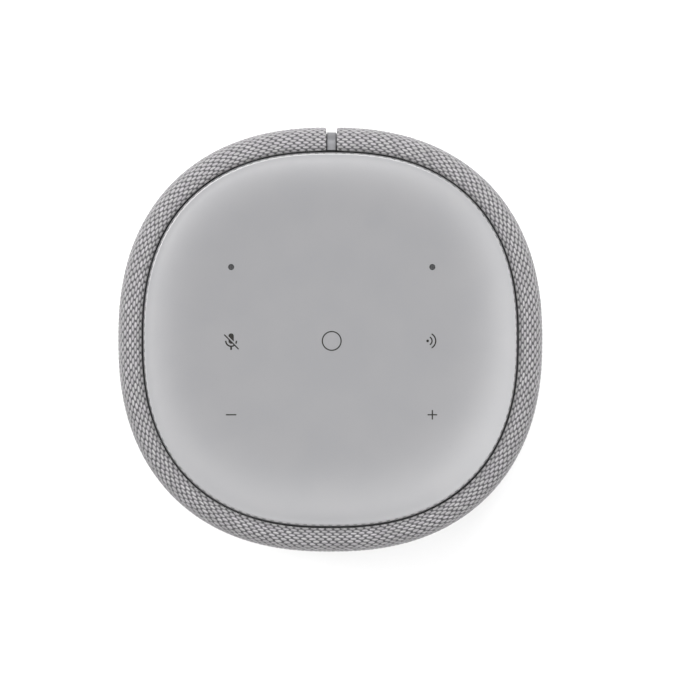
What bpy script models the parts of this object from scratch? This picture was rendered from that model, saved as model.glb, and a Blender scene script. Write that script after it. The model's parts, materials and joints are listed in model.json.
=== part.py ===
"""A table-top smart speaker: a fabric-covered column with a touch panel on top and two drivers inside.

Units are metres. Z is up, the floor is z = 0, the front is -Y and the metal strip runs up the back, +Y.
Every outline is a rounded square, drawn as a superellipse that lies a given inset inside the widest one.
"""

import math

import bmesh
import bpy
from mathutils import Matrix, Vector

# Overall size and outline
WIDTH = 0.140
DEPTH = 0.140
HEIGHT = 0.188
BODY_POWER = 2.32  # superellipse power of the side walls: 2 is a circle, more is squarer
PANEL_POWER = 2.42  # and of the top panel
CLEARANCE = 0.0003  # between pieces that touch
SHELL_SIDES = 48  # facets round the body

# Foot and base
FOOT_HEIGHT = 0.003
FOOT_INSET = 0.0145
FOOT_BAND = 0.009
BASE_INSET = 0.0098
BASE_THICKNESS = 0.003
BASE_RIM_WALL = 0.0022
BASE_RIM_HEIGHT = 0.003
BASE_CHAMFER = 0.0018

# Fabric sleeve and the shell that carries it
FABRIC = 0.0014
FABRIC_LIP = 0.0045  # how far the cloth turns down into the groove round the panel
SHELL_WALL = 0.002
SHOULDER_WIDTH = 0.0064
SHOULDER_HEIGHT = 0.0100
SHOULDER_POWER = 2.35
HEM_WIDTH = 0.0074
HEM_HEIGHT = 0.0100
TAPER = 0.0013  # how much narrower each side is at the hem than at the shoulder
GROOVE = 0.0006  # dark gap between cloth and panel

# Top panel and what lies under it
PANEL_CROWN = 0.0022  # the panel's edge lies this far below its middle
PANEL_FLAT = 0.55  # share of the panel that is flat
PANEL_WALL = 0.0018
PANEL_EDGE_ROUND = 0.0009
FRAME_WALL = 0.0020
FRAME_LEDGE = 0.0040
FRAME_OPENING_INSET = 0.0240
BOARD_WALL = 0.0012
KEY_PITCH_X = 0.0331
KEY_PITCH_Y = 0.0243
KEY_CENTRE = (0.0005, -0.0005)  # the keys sit this far off the panel's middle
MIC_HOLE = 0.00095
MIC_BOOT = 0.0030
MIC_MESH = 0.0024
MESH_SHEET = 0.0003
LIGHT_RING = 0.0033
LIGHT_RING_WALL = 0.0012

# Back strip
STRIP_WIDTH = 0.00285
STRIP_THICKNESS = 0.0012
STRIP_RECESS = 0.0015  # the metal lies this far behind the face of the cloth
SLOT_WIDTH = 0.0039

# Mains inlet
INLET_HEIGHT = 0.0290  # centre above the floor
INLET_BODY = (0.0196, 0.0190, 0.0116)
INLET_PIN_PITCH = 0.0086
INLET_PIN = 0.00118
INLET_LOBE = 0.0042
INLET_WAIST = 0.0034
INLET_DEPTH = 0.0140
INLET_SETBACK = 0.0020  # the mouth lies this far inside the back face
INLET_FRAME_RIM = 0.0030
INLET_FRAME_DEPTH = 0.0050

# Cabinet and baffle
CABINET_INSET = 0.0085
CABINET_WALL = 0.0026
CABINET_FRONT = 0.0420  # in front of the centre plane
CABINET_BACK = 0.0180  # behind the centre plane
CABINET_HEADROOM = 0.0087  # under the top frame
GASKET = 0.0008
PAD_THICKNESS = 0.0100
PAD_DROP = 0.0410  # from the cabinet's top to the wadding's lower edge
BAFFLE_WALL = 0.0040
BAFFLE_MARGIN = 0.0022
BOSS = 0.0036
SCREW_SHANK = 0.0014
SCREW_HEAD = 0.0027
SCREW_HEAD_HEIGHT = 0.0016
SCREW_HOLE = SCREW_SHANK + CLEARANCE

# Woofer
WOOFER_RISE = 0.0564  # its centre above the cabinet's bottom
WOOFER = 0.0445
WOOFER_FLANGE = 0.0018
WOOFER_SURROUND = 0.0068
WOOFER_CONE_DEPTH = 0.0140
WOOFER_BASKET_DEPTH = 0.0262
WOOFER_SHEET = 0.0012
WOOFER_MAGNET = 0.0300
WOOFER_MAGNET_HEIGHT = 0.0120
WOOFER_PLATE = 0.0037
COIL = 0.0100
COIL_WALL = 0.0012
COIL_GAP = 0.0009
COIL_LENGTH = 0.0175
EAR = 0.0048
EAR_OFFSET = 0.0021  # its centre outside the flange
THROAT_MARGIN = 0.0045  # width of the flange
DRIVER_SIDES = 28

# Tweeter
TWEETER_DROP = 0.0320  # its centre below the cabinet's top
TWEETER = 0.0195
TWEETER_FLANGE = 0.0020
TWEETER_DOME = 0.0100
TWEETER_SHEET = 0.0004
TWEETER_ROLL = 0.0022
TWEETER_MAGNET = 0.0142
TWEETER_MAGNET_DEPTH = 0.0150
TWEETER_SIDES = 20
SCREW_SIDES = 10

# Electronics behind the cabinet
BOARD_STANDOFF = 0.0040
BOARD_SHEET = 0.0016
BOARD_GAP = 0.0030  # between the two boards
BOARD_MARGIN = 0.0080  # from the main board's top edge to the cabinet's
MAIN_BOARD_WIDTH = 0.0800
POWER_BOARD = (0.0760, BOARD_SHEET, 0.0300)
POWER_BOARD_RISE = 0.0270  # its centre above the inlet's
SHIELD_CAN = (0.0300, 0.0032, 0.0240)
HEATSINK = (0.0300, 0.0140, 0.0240)
TRANSFORMER = (0.0240, 0.0180, 0.0210)
CAPACITOR = (0.0075, 0.0220)  # radius and height
ANTENNA = (0.0010, 0.0080, 0.0300)
ANTENNA_DROP = 0.0200  # its centre below the cabinet's top
POST_MARGIN = 0.0100  # from a board's edge to its posts
LEAD = 0.0011


# ---------------------------------------------------------------- materials


def material(name, colour, roughness, metallic=0.0):
    """A Principled material, made once per name."""
    found = bpy.data.materials.get(name)
    if found:
        return found
    made = bpy.data.materials.new(name)
    made.use_nodes = True
    shader = made.node_tree.nodes["Principled BSDF"]
    shader.inputs["Base Color"].default_value = (*colour, 1.0)
    shader.inputs["Roughness"].default_value = roughness
    shader.inputs["Metallic"].default_value = metallic
    made.diffuse_color = (*colour, 1.0)
    return made


def cloth():
    return material("woven_cloth", (0.36, 0.35, 0.37), 0.9)


def panel_plastic():
    return material("panel_plastic", (0.38, 0.38, 0.40), 0.55)


def grey_plastic():
    return material("grey_plastic", (0.20, 0.20, 0.21), 0.6)


def black_plastic():
    return material("black_plastic", (0.03, 0.03, 0.032), 0.5)


def clear_plastic():
    return material("clear_plastic", (0.85, 0.86, 0.88), 0.2)


def soft_rubber():
    return material("soft_rubber", (0.04, 0.04, 0.04), 0.8)


def foam():
    return material("damping_foam", (0.25, 0.25, 0.24), 0.95)


def brushed_aluminium():
    return material("brushed_aluminium", (0.62, 0.63, 0.66), 0.35, 1.0)


def plated_steel():
    return material("plated_steel", (0.55, 0.55, 0.56), 0.3, 1.0)


def ferrite():
    return material("ferrite", (0.06, 0.06, 0.065), 0.7)


def copper():
    return material("copper_winding", (0.65, 0.32, 0.16), 0.35, 1.0)


def paper_cone():
    return material("paper_cone", (0.05, 0.05, 0.055), 0.85)


def silk():
    return material("coated_silk", (0.06, 0.06, 0.07), 0.7)


def circuit_board():
    return material("circuit_board", (0.03, 0.13, 0.07), 0.45)


def wire_jacket():
    return material("wire_jacket", (0.10, 0.10, 0.11), 0.6)


# ---------------------------------------------------------------- modelling helpers


def start_scene():
    for found in list(bpy.data.objects):
        bpy.data.objects.remove(found, do_unlink=True)


def put(obj, parent=None, at=(0, 0, 0)):
    """Links an object at a place, under a parent when it has one."""
    bpy.context.scene.collection.objects.link(obj)
    obj.location = at
    obj.parent = parent
    return obj


def empty(name, at, turn=(0, 0, 0)):
    """An axis for the pieces of one driver. Its local +Z points to the front."""
    made = put(bpy.data.objects.new(name, None), at=at)
    made.rotation_euler = turn
    made.empty_display_size = 0.01
    return made


def finish_mesh(name, bm, finish, parent=None, at=(0, 0, 0), smooth=True):
    """Turns a bmesh into an object with its faces pointing out."""
    bmesh.ops.recalc_face_normals(bm, faces=bm.faces[:])
    if bm.calc_volume(signed=True) < 0:
        bmesh.ops.reverse_faces(bm, faces=bm.faces[:])
    mesh = bpy.data.meshes.new(name)
    bm.to_mesh(mesh)
    bm.free()
    if smooth:
        mesh.shade_smooth()
        mesh.set_sharp_from_angle(angle=math.radians(35))
    if finish:
        mesh.materials.append(finish)
    return put(bpy.data.objects.new(name, mesh), parent, at)


def as_cutter(obj):
    obj.hide_render = True
    obj.display_type = "WIRE"
    return obj


def boolean(obj, tool, operation):
    modifier = obj.modifiers.new(f"{operation.lower()} {tool.name}", "BOOLEAN")
    modifier.operation = operation
    modifier.solver = "EXACT"
    modifier.object = tool
    as_cutter(tool)
    return obj


def cut(obj, *tools):
    for tool in tools:
        boolean(obj, tool, "DIFFERENCE")
    return obj


def join(obj, *tools):
    for tool in tools:
        boolean(obj, tool, "UNION")
    return obj


def superellipse(half_x, half_y, power, sides):
    """Points of a rounded square, evenly turned about its centre."""
    points = []
    for step in range(sides):
        turn = 2 * math.pi * step / sides
        c, s = math.cos(turn), math.sin(turn)
        reach = (abs(c / half_x) ** power + abs(s / half_y) ** power) ** (-1 / power)
        points.append((reach * c, reach * s))
    return points


def outline(inset, sides=SHELL_SIDES):
    """The body's outline at an inset from its widest. It gets squarer towards the panel."""
    share = min(inset / panel_inset(), 1)
    power = BODY_POWER + (PANEL_POWER - BODY_POWER) * share
    return superellipse(WIDTH / 2 - inset, DEPTH / 2 - inset, power, sides)


def skin(bm, lower, upper):
    """A band of quads between two loops of the same number of vertices."""
    for i in range(len(lower)):
        bm.faces.new((lower[i - 1], lower[i], upper[i], upper[i - 1]))


def loft(name, profile, finish, closed=True, parent=None):
    """A solid whose section is profile, (inset, z) pairs, carried round the body's outline.

    A closed profile is a ring's section. An open one is a plate's edge, and its two ends are capped.
    """
    bm = bmesh.new()
    loops = [[bm.verts.new((x, y, z)) for x, y in outline(inset)] for inset, z in profile]
    for lower, upper in zip(loops, loops[1:]):
        skin(bm, lower, upper)
    if closed:
        skin(bm, loops[-1], loops[0])
    else:
        bm.faces.new(loops[0])
        bm.faces.new(loops[-1])
    return finish_mesh(name, bm, finish, parent)


def prism(name, points, low, high, finish, axis="Z", parent=None, at=(0, 0, 0), smooth=False):
    """A flat outline extruded from low to high along Z, Y or X."""
    bm = bmesh.new()
    verts = [bm.verts.new((x, y, low)) for x, y in points]
    face = bm.faces.new(verts)
    raised = bmesh.ops.extrude_face_region(bm, geom=[face])["geom"]
    top = [v for v in raised if isinstance(v, bmesh.types.BMVert)]
    bmesh.ops.translate(bm, verts=top, vec=(0, 0, high - low))
    # which of the outline's x, its y and the height goes to each axis
    order = {"Z": (0, 1, 2), "Y": (0, 2, 1), "X": (2, 0, 1)}[axis]
    for vert in bm.verts:
        vert.co = [vert.co[i] for i in order]
    return finish_mesh(name, bm, finish, parent, at, smooth)


def box(name, low, high, finish, bevel=0.0, parent=None):
    """A block between two corners, with its edges rounded by bevel."""
    low, high = Vector(low), Vector(high)
    bm = bmesh.new()
    bmesh.ops.create_cube(bm, size=1)
    bmesh.ops.scale(bm, vec=high - low, verts=bm.verts[:])
    if bevel:
        bmesh.ops.bevel(bm, geom=bm.edges[:], offset=bevel, segments=2, profile=0.5, affect="EDGES")
    return finish_mesh(name, bm, finish, parent, (low + high) / 2)


def block(name, size, centre, finish, bevel=0.0, parent=None):
    size, centre = Vector(size), Vector(centre)
    return box(name, centre - size / 2, centre + size / 2, finish, bevel, parent)


def rounded_rectangle(half_x, half_y, radius, steps=4):
    points = []
    for quarter, (sx, sy) in enumerate(((1, 1), (-1, 1), (-1, -1), (1, -1))):
        for step in range(steps + 1):
            turn = math.pi / 2 * (quarter + step / steps)
            x = sx * (half_x - radius) + radius * math.cos(turn)
            points.append((x, sy * (half_y - radius) + radius * math.sin(turn)))
    return points


def turned(name, profile, finish, sides=DRIVER_SIDES, parent=None, at=(0, 0, 0)):
    """A turned solid about local Z. profile is (radius, height) pairs.

    A profile that starts and ends on the axis is open, and any other is the closed section of a ring.
    """
    closed = profile[0][0] > 0 or profile[-1][0] > 0
    area = sum(a[0] * b[1] - b[0] * a[1] for a, b in zip(profile, profile[1:] + profile[:1]))
    if area > 0:  # the outer side has to run downwards
        profile = profile[::-1]
    bm = bmesh.new()
    verts = [bm.verts.new((radius, 0, height)) for radius, height in profile]
    for a, b in zip(verts, verts[1:] + verts[:1] if closed else verts[1:]):
        bm.edges.new((a, b))
    mesh = bpy.data.meshes.new(name)
    bm.to_mesh(mesh)
    bm.free()
    if finish:
        mesh.materials.append(finish)
    made = put(bpy.data.objects.new(name, mesh), parent, at)
    screw = made.modifiers.new("turn", "SCREW")
    screw.steps = screw.render_steps = sides
    screw.use_merge_vertices = True
    screw.merge_threshold = 0.00001
    screw.use_smooth_shade = True
    return made


def cylinder(name, radius, low, high, finish=None, sides=24, parent=None, at=(0, 0, 0)):
    bm = bmesh.new()
    middle = Matrix.Translation((0, 0, (low + high) / 2))
    bmesh.ops.create_cone(
        bm, cap_ends=True, segments=sides, radius1=radius, radius2=radius, depth=high - low, matrix=middle
    )
    return finish_mesh(name, bm, finish, parent, at)


def arc(centre, radius_r, radius_h, start, end, steps):
    """(radius, height) points on an ellipse, between two angles in degrees from the radius axis."""
    points = []
    for step in range(steps + 1):
        turn = math.radians(start + (end - start) * step / steps)
        across = round(centre[0] + radius_r * math.cos(turn), 8)
        points.append((across, centre[1] + radius_h * math.sin(turn)))
    return points


def tube(name, points, radius, finish):
    """A flexible lead along a smooth curve through its points, with flat ends."""
    path = [Vector(p) for p in points]
    smooth = []
    for i in range(len(path) - 1):
        before, a, b, after = path[max(i - 1, 0)], path[i], path[i + 1], path[min(i + 2, len(path) - 1)]
        for step in range(3):
            t = step / 3
            smooth.append(
                0.5 * (2 * a + (b - before) * t + (2 * before - 5 * a + 4 * b - after) * t**2
                       + (3 * a - before - 3 * b + after) * t**3)
            )
    smooth.append(path[-1])
    curve = bpy.data.curves.new(name, "CURVE")
    curve.dimensions = "3D"
    spline = curve.splines.new("POLY")
    spline.points.add(len(smooth) - 1)
    for point, place in zip(spline.points, smooth):
        point.co = (*place, 1)
    curve.bevel_depth = radius
    curve.bevel_resolution = 1
    curve.use_fill_caps = True
    curve.materials.append(finish)
    return put(bpy.data.objects.new(name, curve))


def screw_piece(name, length, parent=None, at=(0, 0, 0)):
    """A pan-head screw about local Z, its head above z = 0 and its shank below."""
    profile = [
        (0, SCREW_HEAD_HEIGHT), (0.8 * SCREW_HEAD, SCREW_HEAD_HEIGHT), (SCREW_HEAD, 0.6 * SCREW_HEAD_HEIGHT),
        (SCREW_HEAD, 0), (SCREW_SHANK, 0), (SCREW_SHANK, -length), (0, -length),
    ]
    return turned(name, profile, plated_steel(), SCREW_SIDES, parent, at)


# ---------------------------------------------------------------- shared places


def panel_inset():
    return SHOULDER_WIDTH + FABRIC + GROOVE / 2


def side_profile(offset, steps=4):
    """(inset, z) points down the outside of the body, at an offset inside the face of the cloth."""
    points = []
    top, hem = cloth_top(), cloth_bottom()
    for step in range(steps + 1):
        turn = math.pi / 2 * (1 - step / steps)
        out = math.cos(turn) ** (2 / SHOULDER_POWER)
        up = math.sin(turn) ** (2 / SHOULDER_POWER)
        height = top - SHOULDER_HEIGHT + (SHOULDER_HEIGHT - offset) * up
        points.append((SHOULDER_WIDTH - (SHOULDER_WIDTH - offset) * out, height))
    for share in (0.3, 0.6, 0.85):
        z = top - SHOULDER_HEIGHT - (top - SHOULDER_HEIGHT - hem - HEM_HEIGHT) * share
        points.append((offset + TAPER * share**2, z))
    for step in range(steps + 1):
        turn = math.pi / 2 * step / steps
        out = math.cos(turn) ** (2 / SHOULDER_POWER)
        down = math.sin(turn) ** (2 / SHOULDER_POWER)
        height = hem + HEM_HEIGHT - (HEM_HEIGHT - offset) * down
        points.append((TAPER + HEM_WIDTH - (HEM_WIDTH - offset) * out, height))
    return points


def cloth_top():
    return HEIGHT - PANEL_CROWN


def cloth_bottom():
    return FOOT_HEIGHT + CLEARANCE + BASE_THICKNESS


def base_bottom():
    return FOOT_HEIGHT + CLEARANCE


def cabinet_bottom():
    return base_bottom() + BASE_THICKNESS + BASE_RIM_HEIGHT + CLEARANCE


def cabinet_top():
    return frame_bottom() - CABINET_HEADROOM


def woofer_height():
    return cabinet_bottom() + WOOFER_RISE


def tweeter_height():
    return cabinet_top() - TWEETER_DROP


def power_board_height():
    return INLET_HEIGHT + POWER_BOARD_RISE


def main_board_span():
    """The heights of the main board's lower and upper edges."""
    return (power_board_height() + POWER_BOARD[2] / 2 + BOARD_GAP, cabinet_top() - BOARD_MARGIN)


def main_board_height():
    return sum(main_board_span()) / 2


def frame_bottom():
    return frame_top() - FRAME_WALL


def frame_top():
    return cloth_top() - FABRIC_LIP - 2 * CLEARANCE


def baffle_front():
    return CABINET_FRONT + 2 * CLEARANCE + GASKET + BAFFLE_WALL


def shell_offset():
    return FABRIC + CLEARANCE


def panel_height(share):
    """The panel's face at a share of the way from its middle to its edge."""
    return HEIGHT - PANEL_CROWN * (max(0, share - PANEL_FLAT) / (1 - PANEL_FLAT)) ** 3


def inlet_front():
    return DEPTH / 2 - TAPER - INLET_SETBACK


def woofer_front():
    """The face of the woofer's flange."""
    return baffle_front() + 2 * CLEARANCE + GASKET + WOOFER_FLANGE


def tweeter_front():
    return baffle_front() + CLEARANCE + TWEETER_FLANGE


def base_screw_places():
    return [(x, y) for y in (-0.028, 0.008) for x in (-0.034, 0.034)]


def mic_places():
    x, y = KEY_CENTRE
    return {"left": (x - KEY_PITCH_X, y + KEY_PITCH_Y), "right": (x + KEY_PITCH_X, y + KEY_PITCH_Y)}


# ---------------------------------------------------------------- outside


def rubber_foot():
    outer, inner = FOOT_INSET, FOOT_INSET + FOOT_BAND
    edge = 0.0005
    loft(
        "rubber_foot",
        [(inner, 0), (outer + edge, 0), (outer, edge), (outer, FOOT_HEIGHT), (inner, FOOT_HEIGHT)],
        soft_rubber(),
    )


def base_plate():
    low = base_bottom()
    floor = low + BASE_THICKNESS
    rim = BASE_INSET + BASE_RIM_WALL
    plate = loft(
        "base_plate",
        [
            (BASE_INSET + BASE_CHAMFER, low),
            (BASE_INSET, low + BASE_CHAMFER),
            (BASE_INSET, floor + BASE_RIM_HEIGHT),
            (rim, floor + BASE_RIM_HEIGHT),
            (rim, floor),
        ],
        grey_plastic(),
        closed=False,
    )
    for i, (x, y) in enumerate(base_screw_places()):
        high = BASE_THICKNESS + 0.001
        cut(plate, cylinder(f"base_hole_{i}", SCREW_HOLE, -0.001, high, sides=12, at=(x, y, low)))


def base_screws():
    """Their heads sit up inside the base plate's face, clear of the floor."""
    for i, (x, y) in enumerate(base_screw_places(), 1):
        made = screw_piece(f"base_screw_{i}", 0.0120, at=(x, y, base_bottom() - CLEARANCE))
        made.rotation_euler = (math.pi, 0, 0)


def back_path(offset, low):
    """(y, z) points down the back, at an offset inside the face of the cloth, from the groove to low."""
    points = [(DEPTH / 2 - inset, z) for inset, z in side_profile(offset) if z > low]
    points.insert(0, (DEPTH / 2 - panel_inset() + GROOVE, points[0][1]))
    last = DEPTH / 2 - offset - TAPER
    return points + [(last, low)]


def back_band(name, width, outer, inner, low, finish):
    """A band of metal or air that follows the back between two offsets."""
    points = back_path(outer, low) + back_path(inner, low)[::-1]
    return prism(name, points, -width / 2, width / 2, finish, axis="X")


def inlet_frame_size():
    return (INLET_BODY[0] + 2 * INLET_FRAME_RIM, INLET_BODY[2] + 2 * INLET_FRAME_RIM)


def inlet_window(name, margin):
    """The opening that the cloth and its shell leave for the inlet's frame."""
    width, height = inlet_frame_size()
    points = rounded_rectangle(width / 2 + margin, height / 2 + margin, 0.0030 + margin)
    return prism(name, points, DEPTH / 2 - 0.012, DEPTH / 2 + 0.004, None, axis="Y", at=(0, 0, INLET_HEIGHT))


def slot_low():
    return INLET_HEIGHT + inlet_frame_size()[1] / 2 + CLEARANCE


def fabric_sleeve():
    lip = cloth_top() - FABRIC_LIP
    outer = side_profile(0)
    inner = side_profile(FABRIC, 3)
    groove = SHOULDER_WIDTH + FABRIC
    sleeve = loft(
        "fabric_sleeve",
        [(groove, lip), (groove, outer[0][1] - FABRIC / 2), (groove - FABRIC / 2, outer[0][1])]
        + outer[1:-1]
        + [(HEM_WIDTH + TAPER, outer[-1][1]), (HEM_WIDTH + TAPER, inner[-1][1])]
        + inner[-2:0:-1]
        + [(groove - FABRIC, inner[0][1] - FABRIC / 2), (groove - FABRIC, lip)],
        cloth(),
    )
    low = (-SLOT_WIDTH / 2, DEPTH / 2 - panel_inset() - 0.002, slot_low() - 0.001)
    high = (SLOT_WIDTH / 2, DEPTH / 2 + 0.004, HEIGHT + 0.004)
    cut(sleeve, box("cloth_slot", low, high, None), inlet_window("cloth_window", CLEARANCE))


def grille_shell():
    """The stiff shell under the cloth, with tall slots in front of the drivers."""
    outer = side_profile(shell_offset(), 3)
    inner = side_profile(shell_offset() + SHELL_WALL, 2)
    shell = loft(
        "grille_shell",
        outer[1:-1] + inner[-2:0:-1],
        black_plastic(),
    )
    channel = back_band(
        "strip_channel", SLOT_WIDTH, 0, STRIP_RECESS + STRIP_THICKNESS + CLEARANCE, slot_low(), None
    )
    cut(shell, channel, inlet_window("shell_window", CLEARANCE))
    slots, pitch, width = 7, 0.0085, 0.0050
    for i in range(slots):
        x = (i - (slots - 1) / 2) * pitch
        low = (x - width / 2, -DEPTH / 2 - 0.004, cloth_bottom() + 0.0175)
        high = (x + width / 2, -DEPTH / 2 + 0.014, frame_bottom() - 0.0190)
        cut(shell, box(f"grille_slot_{i}", low, high, None))


def back_strip():
    inner = STRIP_RECESS + STRIP_THICKNESS
    back_band("back_strip", STRIP_WIDTH, STRIP_RECESS, inner, slot_low(), brushed_aluminium())


def mains_inlet():
    front = inlet_front()
    back = front - INLET_BODY[1]
    body = box(
        "mains_inlet",
        (-INLET_BODY[0] / 2, back, INLET_HEIGHT - INLET_BODY[2] / 2),
        (INLET_BODY[0] / 2, front, INLET_HEIGHT + INLET_BODY[2] / 2),
        black_plastic(),
        0.0008,
    )
    lobes, steps = [], 8
    waist = math.asin(INLET_WAIST / INLET_LOBE)
    for side in (0, math.pi):
        for step in range(steps + 1):
            turn = side - (math.pi - waist) + 2 * (math.pi - waist) * step / steps
            middle = math.cos(side) * INLET_PIN_PITCH / 2
            lobes.append((middle + INLET_LOBE * math.cos(turn), INLET_LOBE * math.sin(turn)))
    at = (0, 0, INLET_HEIGHT)
    cut(body, prism("inlet_recess", lobes, front - INLET_DEPTH, front + 0.001, None, axis="Y", at=at))
    for side, name in ((-1, "left"), (1, "right")):
        pin = cylinder(
            f"inlet_pin_{name}", INLET_PIN, 0, INLET_DEPTH - 0.0024, plated_steel(), 14,
            at=(side * INLET_PIN_PITCH / 2, front - INLET_DEPTH + CLEARANCE, INLET_HEIGHT),
        )
        pin.rotation_euler = (-math.pi / 2, 0, 0)


def inlet_frame():
    width, height = inlet_frame_size()
    face = DEPTH / 2 - TAPER - 0.0004
    outline = rounded_rectangle(width / 2, height / 2, 0.0030)
    back, at = face - INLET_FRAME_DEPTH, (0, 0, INLET_HEIGHT)
    frame = prism("inlet_frame", outline, back, face, grey_plastic(), axis="Y", at=at, smooth=True)
    hole = rounded_rectangle(INLET_BODY[0] / 2 + CLEARANCE, INLET_BODY[2] / 2 + CLEARANCE, 0.0008)
    cut(frame, prism("inlet_frame_hole", hole, face - 0.010, face + 0.002, None, axis="Y", at=at))


# ---------------------------------------------------------------- top


def top_panel():
    """A crowned plate with a rounded edge and two microphone holes."""
    edge = panel_inset() + GROOVE / 2
    reach = WIDTH / 2 - edge
    slope = 1 - PANEL_FLAT
    shares = (PANEL_FLAT, PANEL_FLAT + 0.4 * slope, PANEL_FLAT + 0.7 * slope, 1 - PANEL_EDGE_ROUND / reach)
    face = [(edge + reach * (1 - s), panel_height(s)) for s in shares]
    rim = cloth_top() - 0.0002
    under = [(edge + reach * (1 - s), panel_height(s) - PANEL_WALL) for s in shares[:-1]]
    panel = loft(
        "top_panel",
        face + [(edge, rim - PANEL_EDGE_ROUND), (edge, rim - PANEL_WALL)] + under[::-1],
        panel_plastic(),
        closed=False,
    )
    for side, (x, y) in mic_places().items():
        low, high = HEIGHT - 0.008, HEIGHT + 0.002
        cut(panel, cylinder(f"mic_hole_{side}", MIC_HOLE, low, high, sides=14, at=(x, y, 0)))


def under_panel(x, y):
    """The height of the panel's underside at a place."""
    reach = WIDTH / 2 - panel_inset() - GROOVE / 2
    share = (abs(x / reach) ** PANEL_POWER + abs(y / reach) ** PANEL_POWER) ** (1 / PANEL_POWER)
    return panel_height(share) - PANEL_WALL


def top_frame():
    """Carries the panel on an upstand and closes the top of the shell."""
    ledge = panel_inset() + GROOVE / 2 + 0.0010
    wide = shell_offset() + SHELL_WALL + CLEARANCE + 0.0012
    low, high = frame_bottom(), frame_top()
    seat = cloth_top() - PANEL_WALL - 0.0002 - CLEARANCE
    loft(
        "top_frame",
        [
            (wide, low), (wide, high), (ledge, high), (ledge, seat), (ledge + FRAME_LEDGE, seat),
            (ledge + FRAME_LEDGE, high), (FRAME_OPENING_INSET, high), (FRAME_OPENING_INSET, low),
        ],
        grey_plastic(),
    )


def touch_board():
    inset = panel_inset() + FRAME_LEDGE + 0.0026
    low = frame_top() + CLEARANCE
    loft("touch_board", [(inset, low), (inset, low + BOARD_WALL)], circuit_board(), closed=False)


def microphones_and_light():
    low = frame_top() + 2 * CLEARANCE + BOARD_WALL
    for side, (x, y) in mic_places().items():
        high = under_panel(1.08 * x, 1.08 * y) - 2 * CLEARANCE - MESH_SHEET
        ring = [(MIC_HOLE, high), (MIC_BOOT, high), (MIC_BOOT, low), (MIC_HOLE, low)]
        turned(f"mic_boot_{side}", ring, soft_rubber(), 14, at=(x, y, 0))
        seat = high + CLEARANCE
        cylinder(f"mic_mesh_{side}", MIC_MESH, seat, seat + MESH_SHEET, plated_steel(), 18, at=(x, y, 0))
    high = under_panel(*KEY_CENTRE) - CLEARANCE
    inner = LIGHT_RING - LIGHT_RING_WALL
    ring = [(inner, high), (LIGHT_RING, high), (LIGHT_RING, low), (inner, low)]
    turned("light_guide", ring, clear_plastic(), 18, at=(*KEY_CENTRE, 0))


# ---------------------------------------------------------------- cabinet


def cabinet_outline(inset, front, back):
    """The body's outline between two planes, as a D-shaped plan."""
    whole = superellipse(WIDTH / 2 - inset, DEPTH / 2 - inset, BODY_POWER, SHELL_SIDES)
    points = [p for p in whole if -front < p[1] < back]
    half = {}
    for plane in (-front, back):
        share = 1 - abs(plane / (DEPTH / 2 - inset)) ** BODY_POWER
        half[plane] = (WIDTH / 2 - inset) * share ** (1 / BODY_POWER)
    right = sorted((p for p in points if p[0] > 0), key=lambda p: p[1])
    left = sorted((p for p in points if p[0] < 0), key=lambda p: -p[1])
    back_edge = [(half[back], back), (-half[back], back)]
    return [(half[-front], -front)] + right + back_edge + left + [(-half[-front], -front)]


def cabinet_half_front():
    share = 1 - (CABINET_FRONT / (DEPTH / 2 - CABINET_INSET)) ** BODY_POWER
    return (WIDTH / 2 - CABINET_INSET) * share ** (1 / BODY_POWER)


def grommet_place():
    return (MAIN_BOARD_WIDTH / 2 + 0.0080, CABINET_BACK - CABINET_WALL / 2, main_board_height())


def board_screw_places():
    half = MAIN_BOARD_WIDTH / 2 - 0.005
    high = main_board_span()[1] - POST_MARGIN
    return [(-half, high), (half, high)]


def standoff_places():
    half = MAIN_BOARD_WIDTH / 2 - 0.005
    low = main_board_span()[0] + POST_MARGIN
    power = POWER_BOARD[0] / 2 - 0.005
    lower = [(-half, low), (half, low), (-power, power_board_height()), (power, power_board_height())]
    return board_screw_places() + lower


def cabinet():
    low = cabinet_bottom()
    outline = cabinet_outline(CABINET_INSET, CABINET_FRONT, CABINET_BACK)
    shell = prism("cabinet", outline, low, cabinet_top(), grey_plastic())
    inside = cabinet_outline(CABINET_INSET + CABINET_WALL, CABINET_FRONT + 0.002, CABINET_BACK - CABINET_WALL)
    cut(shell, prism("cabinet_hollow", inside, low + CABINET_WALL, cabinet_top() - CABINET_WALL, None))
    for i, (x, y) in enumerate(base_screw_places()):
        join(shell, cylinder(f"boss_{i}", BOSS, low + CABINET_WALL / 2, low + 0.010, sides=12, at=(x, y, 0)))
        high = low + 0.0078
        cut(shell, cylinder(f"boss_hole_{i}", SCREW_HOLE, low - 0.001, high, sides=SCREW_SIDES, at=(x, y, 0)))
    for i, (x, z) in enumerate(standoff_places()):
        foot = -CABINET_WALL / 2
        ring = [(SCREW_HOLE, BOARD_STANDOFF), (BOSS, BOARD_STANDOFF), (BOSS, foot), (SCREW_HOLE, foot)]
        post = turned(f"post_{i}", ring, None, 12, at=(x, CABINET_BACK, z))
        post.rotation_euler = (-math.pi / 2, 0, 0)
        join(shell, post)
    x, y, z = grommet_place()
    hole = cylinder("grommet_hole", 0.0050, -0.004, 0.004, sides=18, at=(x, y, z))
    hole.rotation_euler = (-math.pi / 2, 0, 0)
    cut(shell, hole)


def baffle_shape(margin):
    half_z = (cabinet_top() - cabinet_bottom()) / 2 - margin
    return rounded_rectangle(cabinet_half_front() - margin, half_z, 0.008 - margin)


def baffle_middle():
    return (cabinet_top() + cabinet_bottom()) / 2


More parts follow.
